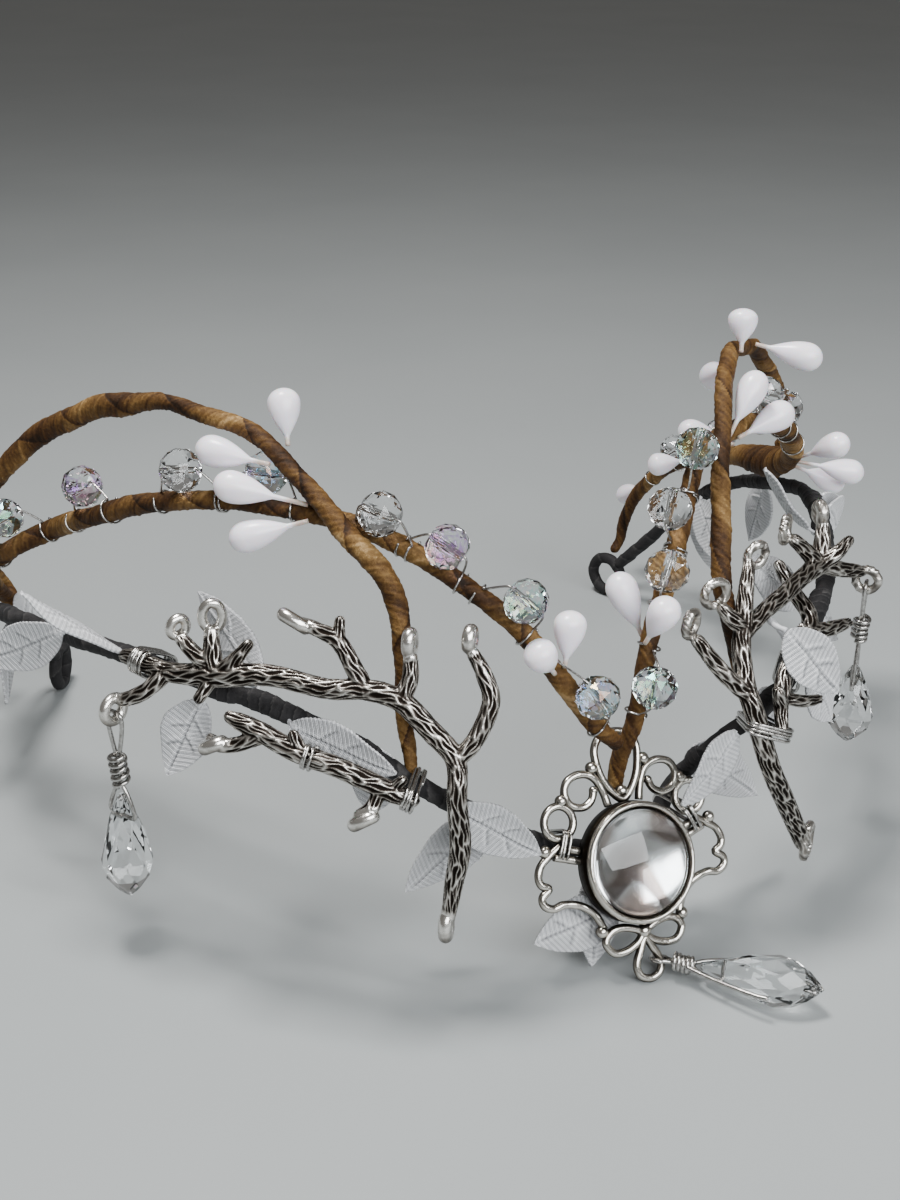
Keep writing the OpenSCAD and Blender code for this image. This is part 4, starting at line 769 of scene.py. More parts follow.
def twig(name, branches, tips, eye, seed, polish):
    """A casting: branch tubes, tip loops and eye fused, then the bark pressed in. Each point takes the
    bark of the branches it lies nearest to, blended where they meet, and tips are polished smooth."""
    paths = [route(b, 0.35)[0] for b in branches]
    domed = [dome_ends(p) for p in paths]
    skins = [shell(around(p, p[:, 3:], 20)) for p in domed]
    loops = [tip_loop(row) for row in tips]
    skins += [shell(hoop(p, tip_radius(row), 16), looped=True) for p, row in zip(loops, tips)]
    if eye is not None:
        turn = np.linspace(0, 2 * np.pi, 41)[:-1]
        out = np.cross([0, 0, 1], eye_axis(eye))
        ring = eye_point(eye) + eye_r * (np.outer(np.cos(turn), out) + np.outer(np.sin(turn), [0, 0, 1]))
        skins.append(shell(hoop(ring, eye_wire_r, 16), looped=True))
        loops.append(ring)
    points, normals, quads, fans = solid_skin(name, skins)
    heights, offs = [], []
    for k, path in enumerate(paths):
        walked = walked_along(path)
        t, side, other = sides_of(path)
        best = np.full(len(points), 1e9)
        where_on = np.zeros(len(points), int)
        for i, q in enumerate(path[:, :3]):
            d = ((points - q) ** 2).sum(1)
            closer = d < best
            best[closer] = d[closer]
            where_on[closer] = i
        gap = points - path[where_on, :3]
        s = walked[where_on] + (gap * t[where_on]).sum(1)
        angle = np.arctan2((gap * other[where_on]).sum(1), (gap * side[where_on]).sum(1)) + 0.06 * s
        heights.append(bark_height(s, angle % (2 * np.pi), 2 * np.pi * path[:, 3].mean(), seed + 17 * k))
        offs.append(np.sqrt(best) - path[where_on, 3])
    offs = np.array(offs)
    share = np.exp(-(offs - offs.min(0)) / 0.16)
    height = (share * np.array(heights)).sum(0) / share.sum(0)
    ringed = np.full(len(points), 1e9)
    for q in (np.vstack(loops) if loops else []):
        ringed = np.minimum(ringed, ((points - q) ** 2).sum(1))
    smoothness = polish * np.clip((2.1 - np.sqrt(ringed)) / 0.6, 0, 1)
    height = height * (1 - smoothness) + smoothness
    # Painted light: the polished tips are lighter on their upper sides and darker below, as if lit from
    # above. The bark's darker hollows are its patina.
    tip_top_light = 0.55 + 0.45 * np.clip(normals[:, 2] + 0.6, 0, 1)
    sunk = points - normals * (bark_depth * (1 - height) - 0.04)[:, None]
    tone = height * 0.82 * (1 - smoothness) + tip_top_light * smoothness
    made = piece(name + "_casting", {"points": sunk, "quads": quads, "fans": fans, "tone": tone}, dark_silver)
    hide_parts(name)


dark_silver, tree, shader = new_material("Antique cast silver", Metallic=1.0, Specular_IOR_Level=0.5)
patches = noise(tree, 900, 4)
# The tone brings the bark's patina, dark in its hollows, and on the tips a painted highlight on their upper
# sides. The noise adds patches of wear.
tone_and_wear = reckon(tree, "ADD", attribute(tree), reckon(tree, "MULTIPLY_ADD", patches, 0.34, -0.17))
paint(tree, shader, ramp(tree, tone_and_wear, [(0.14, (0.012, 0.009, 0.007)), (0.42, (0.045, 0.037, 0.032)),
                                      (0.66, (0.34, 0.315, 0.285)), (0.92, (0.86, 0.835, 0.79))]))
paint(tree, shader, ramp(tree, tone_and_wear, [(0.2, 0.62), (0.9, 0.24)]), "Roughness")
bump(tree, shader, patches, 0.00008)

twig("twig_left_upper", twig_left_upper_rows, tips_left_upper, 0, 3.0, 1.0)
twig("twig_left_lower", twig_left_lower_rows, tips_left_lower, None, 5.0, 1.0)
twig("twig_right_upper", twig_right_upper_rows, tips_right_upper, 1, 8.0, 0.45)
twig("twig_right_lower", twig_right_lower_rows, [], None, 13.0, 0.45)

# Medallion: soldered antique silver filigree round a stepped tray, leaned back, with a ring below.
# Points are across and up in its own flat, one side of it; the other side mirrors it.
scroll = [[3.1, 10.3], [3.9, 13.4], [5.4, 15.8], [7.9, 16.6], [10.3, 15.8], [11.2, 13.7],
    [10.2, 11.6], [8, 10.9], [6.2, 11.8], [5.5, 13.4]]
wing = [[13.6, 5.3], [15.8, 4], [17.7, 2.6], [18.5, 0.7], [18.1, -0.7], [16.8, -1.5], [18.3, -2.7],
    [18.2, -4.1], [16.6, -5], [14.4, -4.7], [11.4, -5.5], [9, -7.4], [7.6, -10.3]]
bow = [[0.6, -12.2], [3.6, -10.9], [6.3, -11.1], [7.7, -12.8], [6.3, -14.8], [3.8, -14.9], [1.2, -13.7]]
petal = [[0, 11], [2, 12.6], [3.5, 15.2], [4.2, 18.2], [4.1, 20.4], [2.8, 22.2]]
teardrop = [[0, -13.4], [1.3, -15.4], [2.4, -17.8], [1.9, -19.7]]
spokes = [[[13.4, 4.9], [10, 3.6]], [[15, 3.6], [10, 1.9]]]
balls = [[5.2, 17.3], [12, 12.7], [16.6, 4.8], [8.1, -10.7]]
side_ring = [13.1, 9.2, 2.8]
filigree_r = 0.72
filigree_sides = 14
medallion_lean = 28
medallion_turn = 3
medallion_at = spot([0, 22, 0]) + [1.4, 2.1, 0]
tray_profile = smooth([[0.6, -0.6], [7, -0.6], [10.2, -0.6], [10.45, -0.45]], 3).tolist() + [
    [10.6, -0.2], [10.6, 1.5], [10.5, 1.8], [10.15, 2.0], [10.1, 2.3], [10.4, 2.5], [10.58, 2.85],
    [10.6, 3.2], [10.5, 3.6], [10.25, 3.88], [9.95, 3.95], [9.7, 3.82], [9.6, 3.55], [9.58, 3.2],
    [9.5, 3.12], [9.42, 3.3], [9.38, 3.35], [9.34, 2.9], [9.34, 0.6], [9.2, 0.35], [6, 0.35], [0.6, 0.35]]


def on_medallion(points):
    """Points across, up and out of the medallion's flat, set in its place at the brow: turned in its
    flat, leaned back, then turned to face a little to one side."""
    p = turned_about(np.asarray(points, float), "z", -medallion_turn)
    return medallion_at + turned_about(turned_about(p, "x", 90 - medallion_lean), "z", medallion_turn)


def filigree_wire(points):
    """An open wire in the medallion's flat through points across and up, a little uneven by hand."""
    line = evened(smooth([[x, y, 0] for x, y in points], 10), 0.3)[0]
    radius = filigree_r * (1 + 0.03 * np.sin(np.arange(len(line)) * 0.7))
    return shell(around(line, radius[:, None], filigree_sides))


def filigree_ring(points):
    """A closed wire in the medallion's flat through points across and up."""
    p = np.array([[x, y, 0] for x, y in points], float)
    p = np.vstack([p[-2:], p, p[:3]])
    line = smooth(p, 10)[20:(len(p) - 3) * 10]
    return shell(hoop(line, filigree_r, filigree_sides), looped=True)


def lathe(profile, sides):
    """Rings of a profile of radius and height turned about the Z axis."""
    p = np.asarray(profile, float)
    a = circle(sides)
    return np.stack([p[:, :1] * np.cos(a), p[:, :1] * np.sin(a), p[:, 1:] + 0 * a], -1)


def ball(x, y, r):
    """A small ball: a half circle turned about an axis, its poles closed by fans."""
    a = np.linspace(0.06, np.pi - 0.06, 15)
    return shell(lathe(np.column_stack([r * np.sin(a), -r * np.cos(a)]), 22) + [x, y, 0])


def mirrored(skin):
    """A skin mirrored across the medallion's upright, its faces turned round to look outwards."""
    out = dict(skin)
    out["points"] = skin["points"] * [-1, 1, 1]
    out["quads"], out["fans"] = skin["quads"][:, ::-1], skin["fans"][:, ::-1]
    return out


def whole(half, tip):
    """A closed line from its half, the tip on the middle, and the half mirrored, last to first."""
    return half + [[0, tip]] + [[-x, y] for x, y in half[:0:-1]]


round_line = [[side_ring[0] + side_ring[2] * np.cos(a), side_ring[1] + side_ring[2] * np.sin(a)]
              for a in circle(16)]
half_filigree = [filigree_wire(line) for line in [scroll, wing] + spokes]
half_filigree += [filigree_ring(line) for line in (round_line, bow)]
half_filigree += [ball(x, y, 1.12) for x, y in balls] + [ball(*scroll[-1], 0.8)]
filigree = half_filigree + [mirrored(skin) for skin in half_filigree]
filigree += [filigree_ring(whole(petal, 22.9)), filigree_ring(whole(teardrop, -20.5)),
             ball(0, 12.4, 1.12), ball(0, -12.2, 1.3)]
medallion_skin = joined(filigree)
medallion_skin["tone"] = np.clip(0.42 + 0.62 * medallion_skin["points"][:, 2] / filigree_r, 0.05, 1)
tray_rings = lathe(tray_profile, 96)
height = tray_rings[..., 2]
reach = np.hypot(tray_rings[..., 0], tray_rings[..., 1])
polished = np.clip((height - 2.6) / 0.9, 0.14, 1) * np.clip((reach - 9.36) / 0.2, 0.1, 1)
medallion_skin = joined([medallion_skin, shell(tray_rings, polished)])
medallion_skin["points"] = on_medallion(medallion_skin["points"])

old_silver, tree, shader = new_material("Antique silver filigree", Metallic=1.0)
near_dark = add(tree, "AmbientOcclusion", {"samples": 6}, {"Distance": 0.0014}).outputs["AO"]
cloudy = noise(tree, 900, 4)
tone_and_wear = reckon(tree, "ADD", attribute(tree), reckon(tree, "MULTIPLY_ADD", cloudy, 0.36, -0.18))
tone_and_wear = reckon(tree, "MULTIPLY", near_dark, tone_and_wear)
paint(tree, shader, ramp(tree, tone_and_wear, [(0.12, (0.012, 0.009, 0.006)), (0.4, (0.065, 0.054, 0.042)),
                                      (0.66, (0.26, 0.235, 0.2)), (0.95, (0.66, 0.63, 0.575))]))
paint(tree, shader, ramp(tree, tone_and_wear, [(0.2, 0.5), (0.85, 0.2)]), "Roughness")
bump(tree, shader, cloudy, 0.00006)
medallion = piece("medallion_filigree", medallion_skin, old_silver)
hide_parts("medallion")

# Cabochon: a clear glass dome, flat below, held by the tray's rolled rim.
cabochon_r = 9.15
dome_height = 5.6
edge_height = 3.0
dome_r = (cabochon_r ** 2 + (dome_height - edge_height) ** 2) / (2 * (dome_height - edge_height))
sweep = np.linspace(np.arcsin(cabochon_r / dome_r), 0.004, 26)
cabochon_profile = [[0.02, 0.02], [5, 0.02], [8.9, 0.02], [9.08, 0.1], [cabochon_r, 0.3], [cabochon_r, 2.6],
                    [cabochon_r, edge_height]]
cabochon_profile += [[dome_r * np.sin(a), dome_height - dome_r + dome_r * np.cos(a)] for a in sweep[1:]]
foil_profile = [[0.02, 0.36], [9.1, 0.36], [9.1, 0.5], [8.6, 0.42], [4, 0.42], [0.02, 0.42]]
foil_skin = shell(lathe(foil_profile, 64))
foil_skin["points"] = on_medallion(foil_skin["points"])
bright_foil, tree, shader = new_material("Bright silver foil", Metallic=1.0, Roughness=0.17)
foil_marks = noise(tree, 500, 3)
broad = noise(tree, 75, 1)
# Painted reflections: a dark brown band, white patches and a warm amber patch on the foil stand in for the
# room and the window seen in it. The fine marks are the foil's own.
painted_reflections = ramp(tree, broad, [(0.38, (0.97, 0.98, 0.98)), (0.44, (0.34, 0.28, 0.25)),
                             (0.54, (0.22, 0.175, 0.165)), (0.58, (0.98, 0.97, 0.97)),
                             (0.66, (0.95, 0.76, 0.68))])
foil_tint = ramp(tree, foil_marks, [(0.3, (0.84, 0.85, 0.86)), (0.7, 1.0)])
paint(tree, shader, blend(tree, "MULTIPLY", 1.0, painted_reflections, foil_tint))
bump(tree, shader, foil_marks, 0.00001)
foil = piece("cabochon_foil", foil_skin, bright_foil)
cabochon_skin = shell(lathe(cabochon_profile, 96))
cabochon_skin["points"] = on_medallion(cabochon_skin["points"] + [0, 0, 0.5])
dome_glass, tree, shader = new_material("Clear dome glass", Roughness=0.015, IOR=1.5, Transmission_Weight=1.0)
clouds = noise(tree, 260, 2)
paint(tree, shader, ramp(tree, clouds, [(0.3, (0.93, 0.96, 0.97)), (0.7, 1.0)]))
cabochon = piece("cabochon_dome", cabochon_skin, dome_glass)
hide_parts("cabochon")

# Bindings: thin steel-grey wire wound tightly round the castings, the head wire and the stems, with
# its cut ends tucked in. Rows are a point on each tube's middle and the radius to clear there.
thread_r = 0.27
thread_gap = 0.02
base_halves = np.vstack([loop_joint[0], smooth(base_points, 2)[:, :3], loop_joint[1]])
wire_silver, tree, shader = new_material("Thin silver wire", Metallic=1.0, Roughness=0.24)
scuffs = noise(tree, 1800, 3)
paint(tree, shader, ramp(tree, scuffs, [(0.3, (0.26, 0.245, 0.23)), (0.7, (0.62, 0.61, 0.59))]))
bump(tree, shader, scuffs, 0.00003)


def wire_point(x):
    """The head wire's middle at a count of half rows."""
    return np.array([np.interp(x, np.arange(len(base_halves)), column) for column in base_halves.T])


def medallion_spot(x, y):
    """The one point of a place across and up on the medallion's flat."""
    return on_medallion([[x, y, 0]])[0]


def way_of(p, q):
    """The way from one casting row to the next, which a winding lies across."""
    return spot(q) - spot(p)


def start_side(t):
    """A direction across t, as near upright as may be."""
    v = np.array([0, 0, 1.0]) if abs(t[2]) < 0.8 else np.array([1.0, 0, 0])
    return unit(v - (v @ t) * t)


def winding(rows, along, turns, pitch=0.62):
    """Wire wound round tubes side by side: at each angle it goes to the furthest of the tubes' circles,
    while it moves on by a pitch each turn. The wander keeps the turns from looking machine made."""
    along = unit(along)
    o = rows[-1][0]
    c = np.array([q[0] - ((q[0] - o) @ along) * along for q in rows])
    r = np.array([q[1] for q in rows])
    u = start_side(along)
    w = np.cross(along, u)
    k = np.linspace(0, turns, int(turns * 44))
    d = u * np.cos(2 * np.pi * k)[:, None] + w * np.sin(2 * np.pi * k)[:, None]
    reach = d @ c.T + r
    soft = np.exp((reach - reach.max(1, keepdims=True)) / 0.35)
    soft = soft / soft.sum(1, keepdims=True)
    at = (soft[:, :, None] * (c[None] + d[:, None] * (r[None, :, None] + thread_r + thread_gap))).sum(1)
    wander = 0.17 * np.sin(2.7 * k + rows[0][1]) + 0.1 * np.sin(7.1 * k)
    line = at + along * (pitch * (k - turns / 2) + wander)[:, None]
    return evened(line, 0.16)[0]


def wire_skin(line, radius, sides=10):
    """Round wire along a line, its cut ends closed."""
    return shell(around(line, radius, sides), 0.5)


over_stems = 2.15
bindings = {
    "binding_left_hub": [winding([[wire_point(13.9), over_stems], [spot([-60.5, 57.7, 5.2]), 1.9]],
                                 way_of([-60.5, 57.6, 5.2], [-61.5, 57.7, 5.2]), 6.5, pitch=0.5)],
    "binding_left_mid": [winding([[spot([-36.8, 49.9, 6.7]), 1.75]],
                                 way_of([-38, 50.3, 6.7], [-33.5, 48.6, 6.5]), 3)],
    "binding_left_front": [winding([[wire_point(20.58), over_stems], [spot([-26.1, 44.1, 6]), 1.7]],
                                   way_of([-26.1, 44.1, 6], [-27.1, 44.8, 6]), 4.5, pitch=0.5)],
    "binding_right_front": [winding([[wire_point(36.7), 2.1], [spot([18.3, 45.6, 6.6]), 1.8],
                                     [spot([15.7, 45.4, 4.7]), 1.9]], [0.38, 0.16, 0.91], 4.2, pitch=0.55)],
    "binding_right_lower": [winding([[wire_point(39.03), over_stems], [spot([23.9, 53.5, 5.1]), 2]],
                                    [0.83, 0.35, 0.43], 1.9)]}
bindings["binding_medallion"] = [
    winding([[wire_point(at), 1.9], [medallion_spot(13 * hand, 6.8), 0.85],
             [medallion_spot(13.4 * hand, 4.1), 0.85]],
            medallion_spot(hand, 0.42) - medallion_spot(0, 0), 3.6, pitch=0.6)
    for hand, at in ((-1, 26.1), (1, 31.9))]
for name, lines in bindings.items():
    made = piece(name + "_turns", joined([wire_skin(line, thread_r) for line in lines]), wire_silver)
    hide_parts(name)

# Glass beads: clear cut beads with a rainbow coating on some, threaded on thin silver wire that takes
# a turn round the stem before and after each. Rows are angle, height, out, and the reach of the turns.
beads_left = [
    [-4.6, 56.5, 4.5, 6.8, 9.6], [-13.2, 71.5, 4.5, 4.6, 6], [-22.7, 79.9, 4, 4.6, 6.6],
    [-32, 84, 3, 6, 4.4], [-53.5, 86.8, -3, 6.8, 6.8], [-65.5, 85.5, 3.5, 6.8, 6.8],
    [-89, 75.5, 4.5, 6.8, 6.8], [-98, 65, 12, 6.8, 6.8]]
beads_right = [
    [2.6, 55.5, 4, 6.8, 5], [7, 73.2, 4.6, 4.6, 5], [10.6, 82.2, 2.6, 4.6, 6],
    [20, 90, 3, 6, 4.4], [58.5, 87, 0, 6.8, 5], [71, 80.8, 3, 4.6, 6.8],
    [102, 58.5, 5, 6.8, 6.8], [112.5, 47, 8, 6.8, 6.8]]
bead_d = 7.6
bead_len = 6.4
bead_hole = 1.1
bead_facets = 10
bead_rows = [[3.2, 1.9, 0], [2.3, 3.0, 0.5], [0.85, 3.8, 0], [-0.85, 3.8, 0.5], [-2.3, 3.0, 0],
             [-3.2, 1.9, 0.5]]
# Coatings: the film's thickness in nanometres and its two colours, painted in patches on the glass as the
# coat's iridescent glints. The first is bare glass, for the beads that bead_coat leaves out.
coats = [("Clear cut glass", 0, (0.97, 0.99, 1.0), 1.0),
         ("Cut glass, blue coat", 300, (0.5, 0.82, 1.0), (0.82, 0.66, 1.0)),
         ("Cut glass, green coat", 410, (0.6, 1.0, 0.93), (0.7, 0.8, 1.0)),
         ("Cut glass, pink coat", 500, (0.74, 0.46, 1.0), (1.0, 0.55, 0.72))]
bead_coat = {"left_1": 1, "left_2": 2, "left_3": 3, "left_5": 1, "left_7": 3, "left_8": 2, "right_1": 2,
             "right_4": 2, "right_7": 3}
coated_glass = []
for title, thick, colour, other_glint_colour in coats:
    made, tree, shader = new_material(title, Roughness=0.02, IOR=1.47, Transmission_Weight=1.0)
    if thick:
        shader.inputs["Thin Film Thickness"].default_value = thick
        shader.inputs["Thin Film IOR"].default_value = 1.6
    stops = [(0.35, colour), (0.65, 1.0)]
    if thick:
        stops = [(0.34, other_glint_colour), (0.4, 1.0), (0.54, 1.0), (0.58, colour), (0.62, colour), (0.66, 1.0)]
    # Painted glints: noise patches of the coat's two colours. Bare glass gets only a faint tint.
    paint(tree, shader, ramp(tree, noise(tree, 330, 2), stops))
    coated_glass.append(made)


def cut_rings(rows, sides):
    """Rings of radius at height along Z, each turned by its part of a facet, so that the triangles
    between two rings make the diamonds of a cut bead."""
    rows = np.asarray(rows, float)
    a = (np.arange(sides)[None, :] + rows[:, 2:]) * 2 * np.pi / sides
    return np.stack([rows[:, 1:2] * np.cos(a), rows[:, 1:2] * np.sin(a), rows[:, :1] + 0 * a], -1)


def cut_skin(rings, turned, looped):
    """Facets between rings that are turned by half a facet from one to the next: two triangles to each
    facet, and square faces where two rings aren't turned. Looped joins the last ring to the first."""
    n, m = rings.shape[:2]
    quads, fans = [np.zeros((0, 4), int)], [np.zeros((0, 3), int)]
    k = np.arange(m)
    l = (k + 1) % m
    for i in range(n if looped else n - 1):
        j = (i + 1) % n
        a, b = i * m, j * m
        step = turned[j] - turned[i]
        if step == 0:
            quads.append(np.stack([a + k, a + l, b + l, b + k], -1))
        elif step > 0:
            fans += [np.stack([a + k, a + l, b + k], -1), np.stack([a + l, b + l, b + k], -1)]
        else:
            fans += [np.stack([a + k, b + l, b + k], -1), np.stack([a + k, a + l, b + l], -1)]
    return {"points": rings.reshape(-1, 3), "quads": np.vstack(quads), "fans": np.vstack(fans),
            "tone": np.full(n * m, 0.5)}


def aimed(points, top, way, spin=0.0):
    """Points made along Z, set at a place with Z along a way and turned about it."""
    way = unit(way)
    side = start_side(way)
    return top + turned_about(points, "z", np.degrees(spin)) @ np.array([side, np.cross(way, side), way])


def bead_skin(c, way, spin):
    """A cut bead with its hole: outside rings from end to end, then back through the hole."""
    half = bead_len / 2
    rows = bead_rows + [[-half, bead_hole / 2, 0.5], [half, bead_hole / 2, 0.5]]
    skin = cut_skin(cut_rings(rows, bead_facets), [row[2] for row in rows], True)
    skin["quads"], skin["fans"] = skin["quads"][:, ::-1], skin["fans"][:, ::-1]
    skin["points"] = aimed(skin["points"], c, way, spin)
    return skin


def turn_round(path, at, e, start, shift):
    """One turn of the thread wire round a stem at a point of its path, starting at an angle from e."""
    foot, t = foot_on(path, at)
    ref = unit(e - (e @ t) * t)
    f = np.cross(t, ref)
    k = np.linspace(0, 1, 30)
    a = np.radians(start + 330 * k)[:, None]
    return foot[:3] + t * (shift + 0.9 * k)[:, None] + (foot[3] + 0.36) * (ref * np.cos(a) + f * np.sin(a))


for side_name, rows, stem in (("left", beads_left, "stem_left"), ("right", beads_right, "stem_right")):
    path = brown_path[stem]
    threads = []
    for k, row in enumerate(rows):
        c = seated(path, spot(row[:3]), bead_d / 2 + 0.3)
        foot, t = foot_on(path, c)
        e = unit(c - foot[:3])
        name = side_name + "_" + str(k + 1)
        glass = coated_glass[bead_coat.get(name, 0)]
        bead = piece("bead_" + name + "_glass", bead_skin(c, t, 0.31 * k), glass, flat=True)
        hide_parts("bead_" + name)
        before = turn_round(path, foot[:3] - t * row[3], e, -330, -0.6)
        after = turn_round(path, foot[:3] + t * row[4], e, 0, -0.3)
        reach = bead_len / 2 + 0.5
        through = np.array([c - t * reach, c - t * 1.5, c, c + t * 1.5, c + t * reach])
        line = np.vstack([before[::3], before[-1:], through, after[:1], after[1::3]])
        threads.append(wire_skin(evened(smooth(line, 8), 0.2)[0], 0.2, 8))
    made = piece("bead_wire_" + side_name + "_thread", joined(threads), wire_silver)
    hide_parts("bead_wire_" + side_name)

# Pips: white moulded teardrops with a soft pearl finish, on thin paper-covered stalks that are bound in
# pairs under the brown tape. Rows are foot angle, height and out, then tip angle, height and out.
pips_left_brow_rows = [[-7.4, 60.5, 1.6, -6.6, 69, 2.5], [-9.4, 59.4, 2, -12.6, 66.4, 8]]
pips_left_stem_rows = [[-43.5, 84.4, 1, -57.2, 86.6, 6], [-43, 81, 3, -53.5, 77.5, 3]]
pips_left_arch_rows = [[-48.5, 92.2, 1.6, -52, 100.5, 1.5], [-50.5, 89.4, 3, -63, 90.5, 5]]
pips_left_rear_rows = [[-104, 51, 13, -101, 56, 22], [-115, 32, 7.5, -118, 40, 14]]
pips_right_brow_rows = [[3.2, 61.4, 0.4, 4.9, 70.5, 8.6], [5, 60.5, -4, 3, 70.5, -5]]
pips_right_arch_rows = [[47, 98.6, 2, 50, 106, 5], [61, 96.6, 3, 60, 94, 14], [46, 95, -3, 60, 89.5, -9]]
pips_right_stem_rows = [[33, 87.6, 1, 42.5, 96.5, 5.5], [36, 85.2, 1, 46.5, 89, 7]]
pips_right_side_rows = [[83, 64, 7, 75, 71, 14], [85, 62, 6, 83, 58.5, 18.5], [87, 60, 6, 86.5, 54, 15]]
pips_right_rear_rows = [[95, 62, -1, 99.3, 65, -9.7], [106, 50, -2, 108.7, 49, -10.6],
    [109, 48, 5, 104, 55, 12], [117, 35, 7, 122, 26, 12]]
pip_len = 11.5
pip_d = 5.4
pip_foot_r = 0.45
pearl_white, tree, shader = new_material("White pearl pips", Roughness=0.3, Specular_IOR_Level=0.5,
                                         Subsurface_Weight=0.25, Subsurface_Scale=0.002,
                                         Coat_Weight=0.25, Coat_Roughness=0.2)
faint = noise(tree, 420, 3)
fade = ramp(tree, attribute(tree), [(0.0, (0.5, 0.42, 0.36)), (0.08, (0.8, 0.77, 0.8)),
                                    (0.3, (0.9, 0.86, 0.95)), (1.0, (0.93, 0.895, 0.965))])
clouded = ramp(tree, faint, [(0.3, (0.95, 0.94, 0.965)), (0.7, 1.0)])
paint(tree, shader, blend(tree, "MULTIPLY", 0.5, fade, clouded))
bump(tree, shader, faint, 0.00004)


def pip_skin(foot, tip, k):
    """A pip from foot to tip: a thin stalk, then a body whose radius goes as sin up to 0.7 of its
    length and closes as a quarter ellipse, a little fuller on one side."""
    reach = np.linalg.norm(tip - foot)
    back = max(reach - pip_len, 0.4) + 1.3
    r = pip_d / 2
    u = np.linspace(0.0, 0.7, 22)
    swell = np.column_stack([pip_foot_r + (r - pip_foot_r) * np.sin(np.pi / 2 * u / 0.7) ** 1.05,
                             back + (reach - back) * u])
    a = np.linspace(0, 0.49 * np.pi, 14)[1:]
    crown = np.column_stack([r * np.cos(a), back + (reach - back) * (0.7 + 0.3 * np.sin(a))])
    stalk = np.column_stack([np.full(4, pip_foot_r * 0.9), np.linspace(0, back, 5)[:4]])
    profile = np.vstack([stalk, swell, crown])
    rings = lathe(profile, 36)
    angle = circle(36)[None, :]
    fuller = 1 + 0.02 * np.cos(2 * angle + k) - 0.02 * (profile[:, 1:2] / reach) * np.cos(angle + 2 * k)
    rings[..., :2] *= fuller[..., None]
    tone = np.clip((profile[:, 1:2] - back * 0.6) / (reach - back), 0, 1) + 0 * angle
    return shell(aimed(rings, foot, tip - foot), tone)


pip_groups = [("left_brow", pips_left_brow_rows, "stem_left"),
              ("left_stem", pips_left_stem_rows, "stem_left"),
              ("left_arch", pips_left_arch_rows, "arch_left"),
              ("left_rear", pips_left_rear_rows, "stem_left"),
              ("right_brow", pips_right_brow_rows, "stem_right"),
              ("right_arch", pips_right_arch_rows, "arch_right"),
              ("right_stem", pips_right_stem_rows, "stem_right"),
              ("right_side", pips_right_side_rows, "stem_right"),
              ("right_rear", pips_right_rear_rows, "stem_right")]
for name, rows, wire in pip_groups:
    skins = []
    for k, row in enumerate(rows):
        foot = seated(brown_path[wire], spot(row[:3]), pip_foot_r + 0.3)
        skins.append(pip_skin(foot, spot(row[3:]), k))
    pips = piece("pips_" + name + "_pearl", joined(skins), pearl_white)
    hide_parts("pips_" + name)

# Glass drops: long clear cut drops on a soft silver wire that loops through an eye, is wound round
# itself, and passes through the stone near its top. The side drops swing. The mouths of each stone's
# hole are marked on its skin, but no hole is open, so the wire runs through the glass there.
drop_hole_at = 4.2
drill_r = 0.6
drop_wire_r = 0.4
drop_d = 9
drop_facets = 8
# Rows for the left, right and centre drop, down from the eye: the neck's two ends, the stone's top, and
# the stone's length.
drop_rows = [[8.4, 15, 16.6, 21], [7.6, 13, 18.2, 17], [4.2, 8.2, 9.4, 21]]
drop_glass, tree, shader = new_material("Clear cut drop glass", Roughness=0.008, IOR=1.53,
                                        Transmission_Weight=1.0)
paint(tree, shader, ramp(tree, noise(tree, 150, 2), [(0.35, (0.95, 0.98, 0.99)), (0.65, 1.0)]))


def drop_stone(name, top, way, across_way, length, body):
    """A cut drop: rings of eight facets, each turned half a facet from the last, from a small flat top
    through long narrow facets to kite facets at the point. The cutter's faces look inwards, and the
    boolean only marks the two mouths of the hole across the stone."""
    r = drop_d / 2
    rows = [[0, 0.5, 0], [0.5, 0.95, 0.5], [length * 0.2, r * 0.52, 0], [length * 0.38, r * 0.79, 0.5],
            [length * 0.62, r, 0], [length * 0.76, r * 0.9, 0.5], [length * 0.88, r * 0.56, 0],
            [length * 0.96, r * 0.24, 0.5], [length, 0.12, 0]]
    skin = cut_skin(cut_rings(rows, drop_facets), [row[2] for row in rows], False)
    k = np.arange(drop_facets)
    l = (k + 1) % drop_facets
    last = drop_facets * (len(rows) - 1)
    count = len(skin["points"])
    skin["fans"] = np.vstack([skin["fans"], np.stack([l, k, 0 * k + count], -1),
                              np.stack([last + k, last + l, 0 * k + count + 1], -1)])
    axes = np.array([across_way, np.cross(way, across_way), way])
    skin["points"] = top + np.vstack([skin["points"], [0, 0, 0], [0, 0, length]]) @ axes
    skin["tone"] = np.full(count + 2, 0.5)
    made = piece(name + "_glass", skin, drop_glass, body, flat=True)
    drill = lathe([[drill_r, -7], [drill_r, 7]], 20)
    drill = top + way * drop_hole_at + drill @ axes[[1, 2, 0]]
    cutter = piece(name + "_drill", shell(drill[:, ::-1]), drop_glass, body)
    hole = made.modifiers.new("hole", "BOOLEAN")
    hole.operation = "DIFFERENCE"
    hole.object = cutter
    hole.solver = "EXACT"
    bpy.context.view_layer.update()
    drilled = bpy.data.meshes.new_from_object(made.evaluated_get(bpy.context.evaluated_depsgraph_get()))
    made.modifiers.clear()
    made.data = drilled
    cut = bmesh.new()
    cut.from_mesh(drilled)
    bmesh.ops.dissolve_degenerate(cut, dist=0.00002, edges=cut.edges)
    cut.to_mesh(drilled)
    cut.free()
    drilled.shade_flat()
    bpy.data.objects.remove(cutter)
    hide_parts(name)


def halves(eye, way, side, half, last):
    """A wire from one half's first row down to the end on the middle and back up the other side."""
    down_side = [eye + side * a + way * b for a, b in half]
    up_side = [eye - side * a + way * b for a, b in half[::-1]]
    return np.array(down_side + [eye + way * last] + up_side)


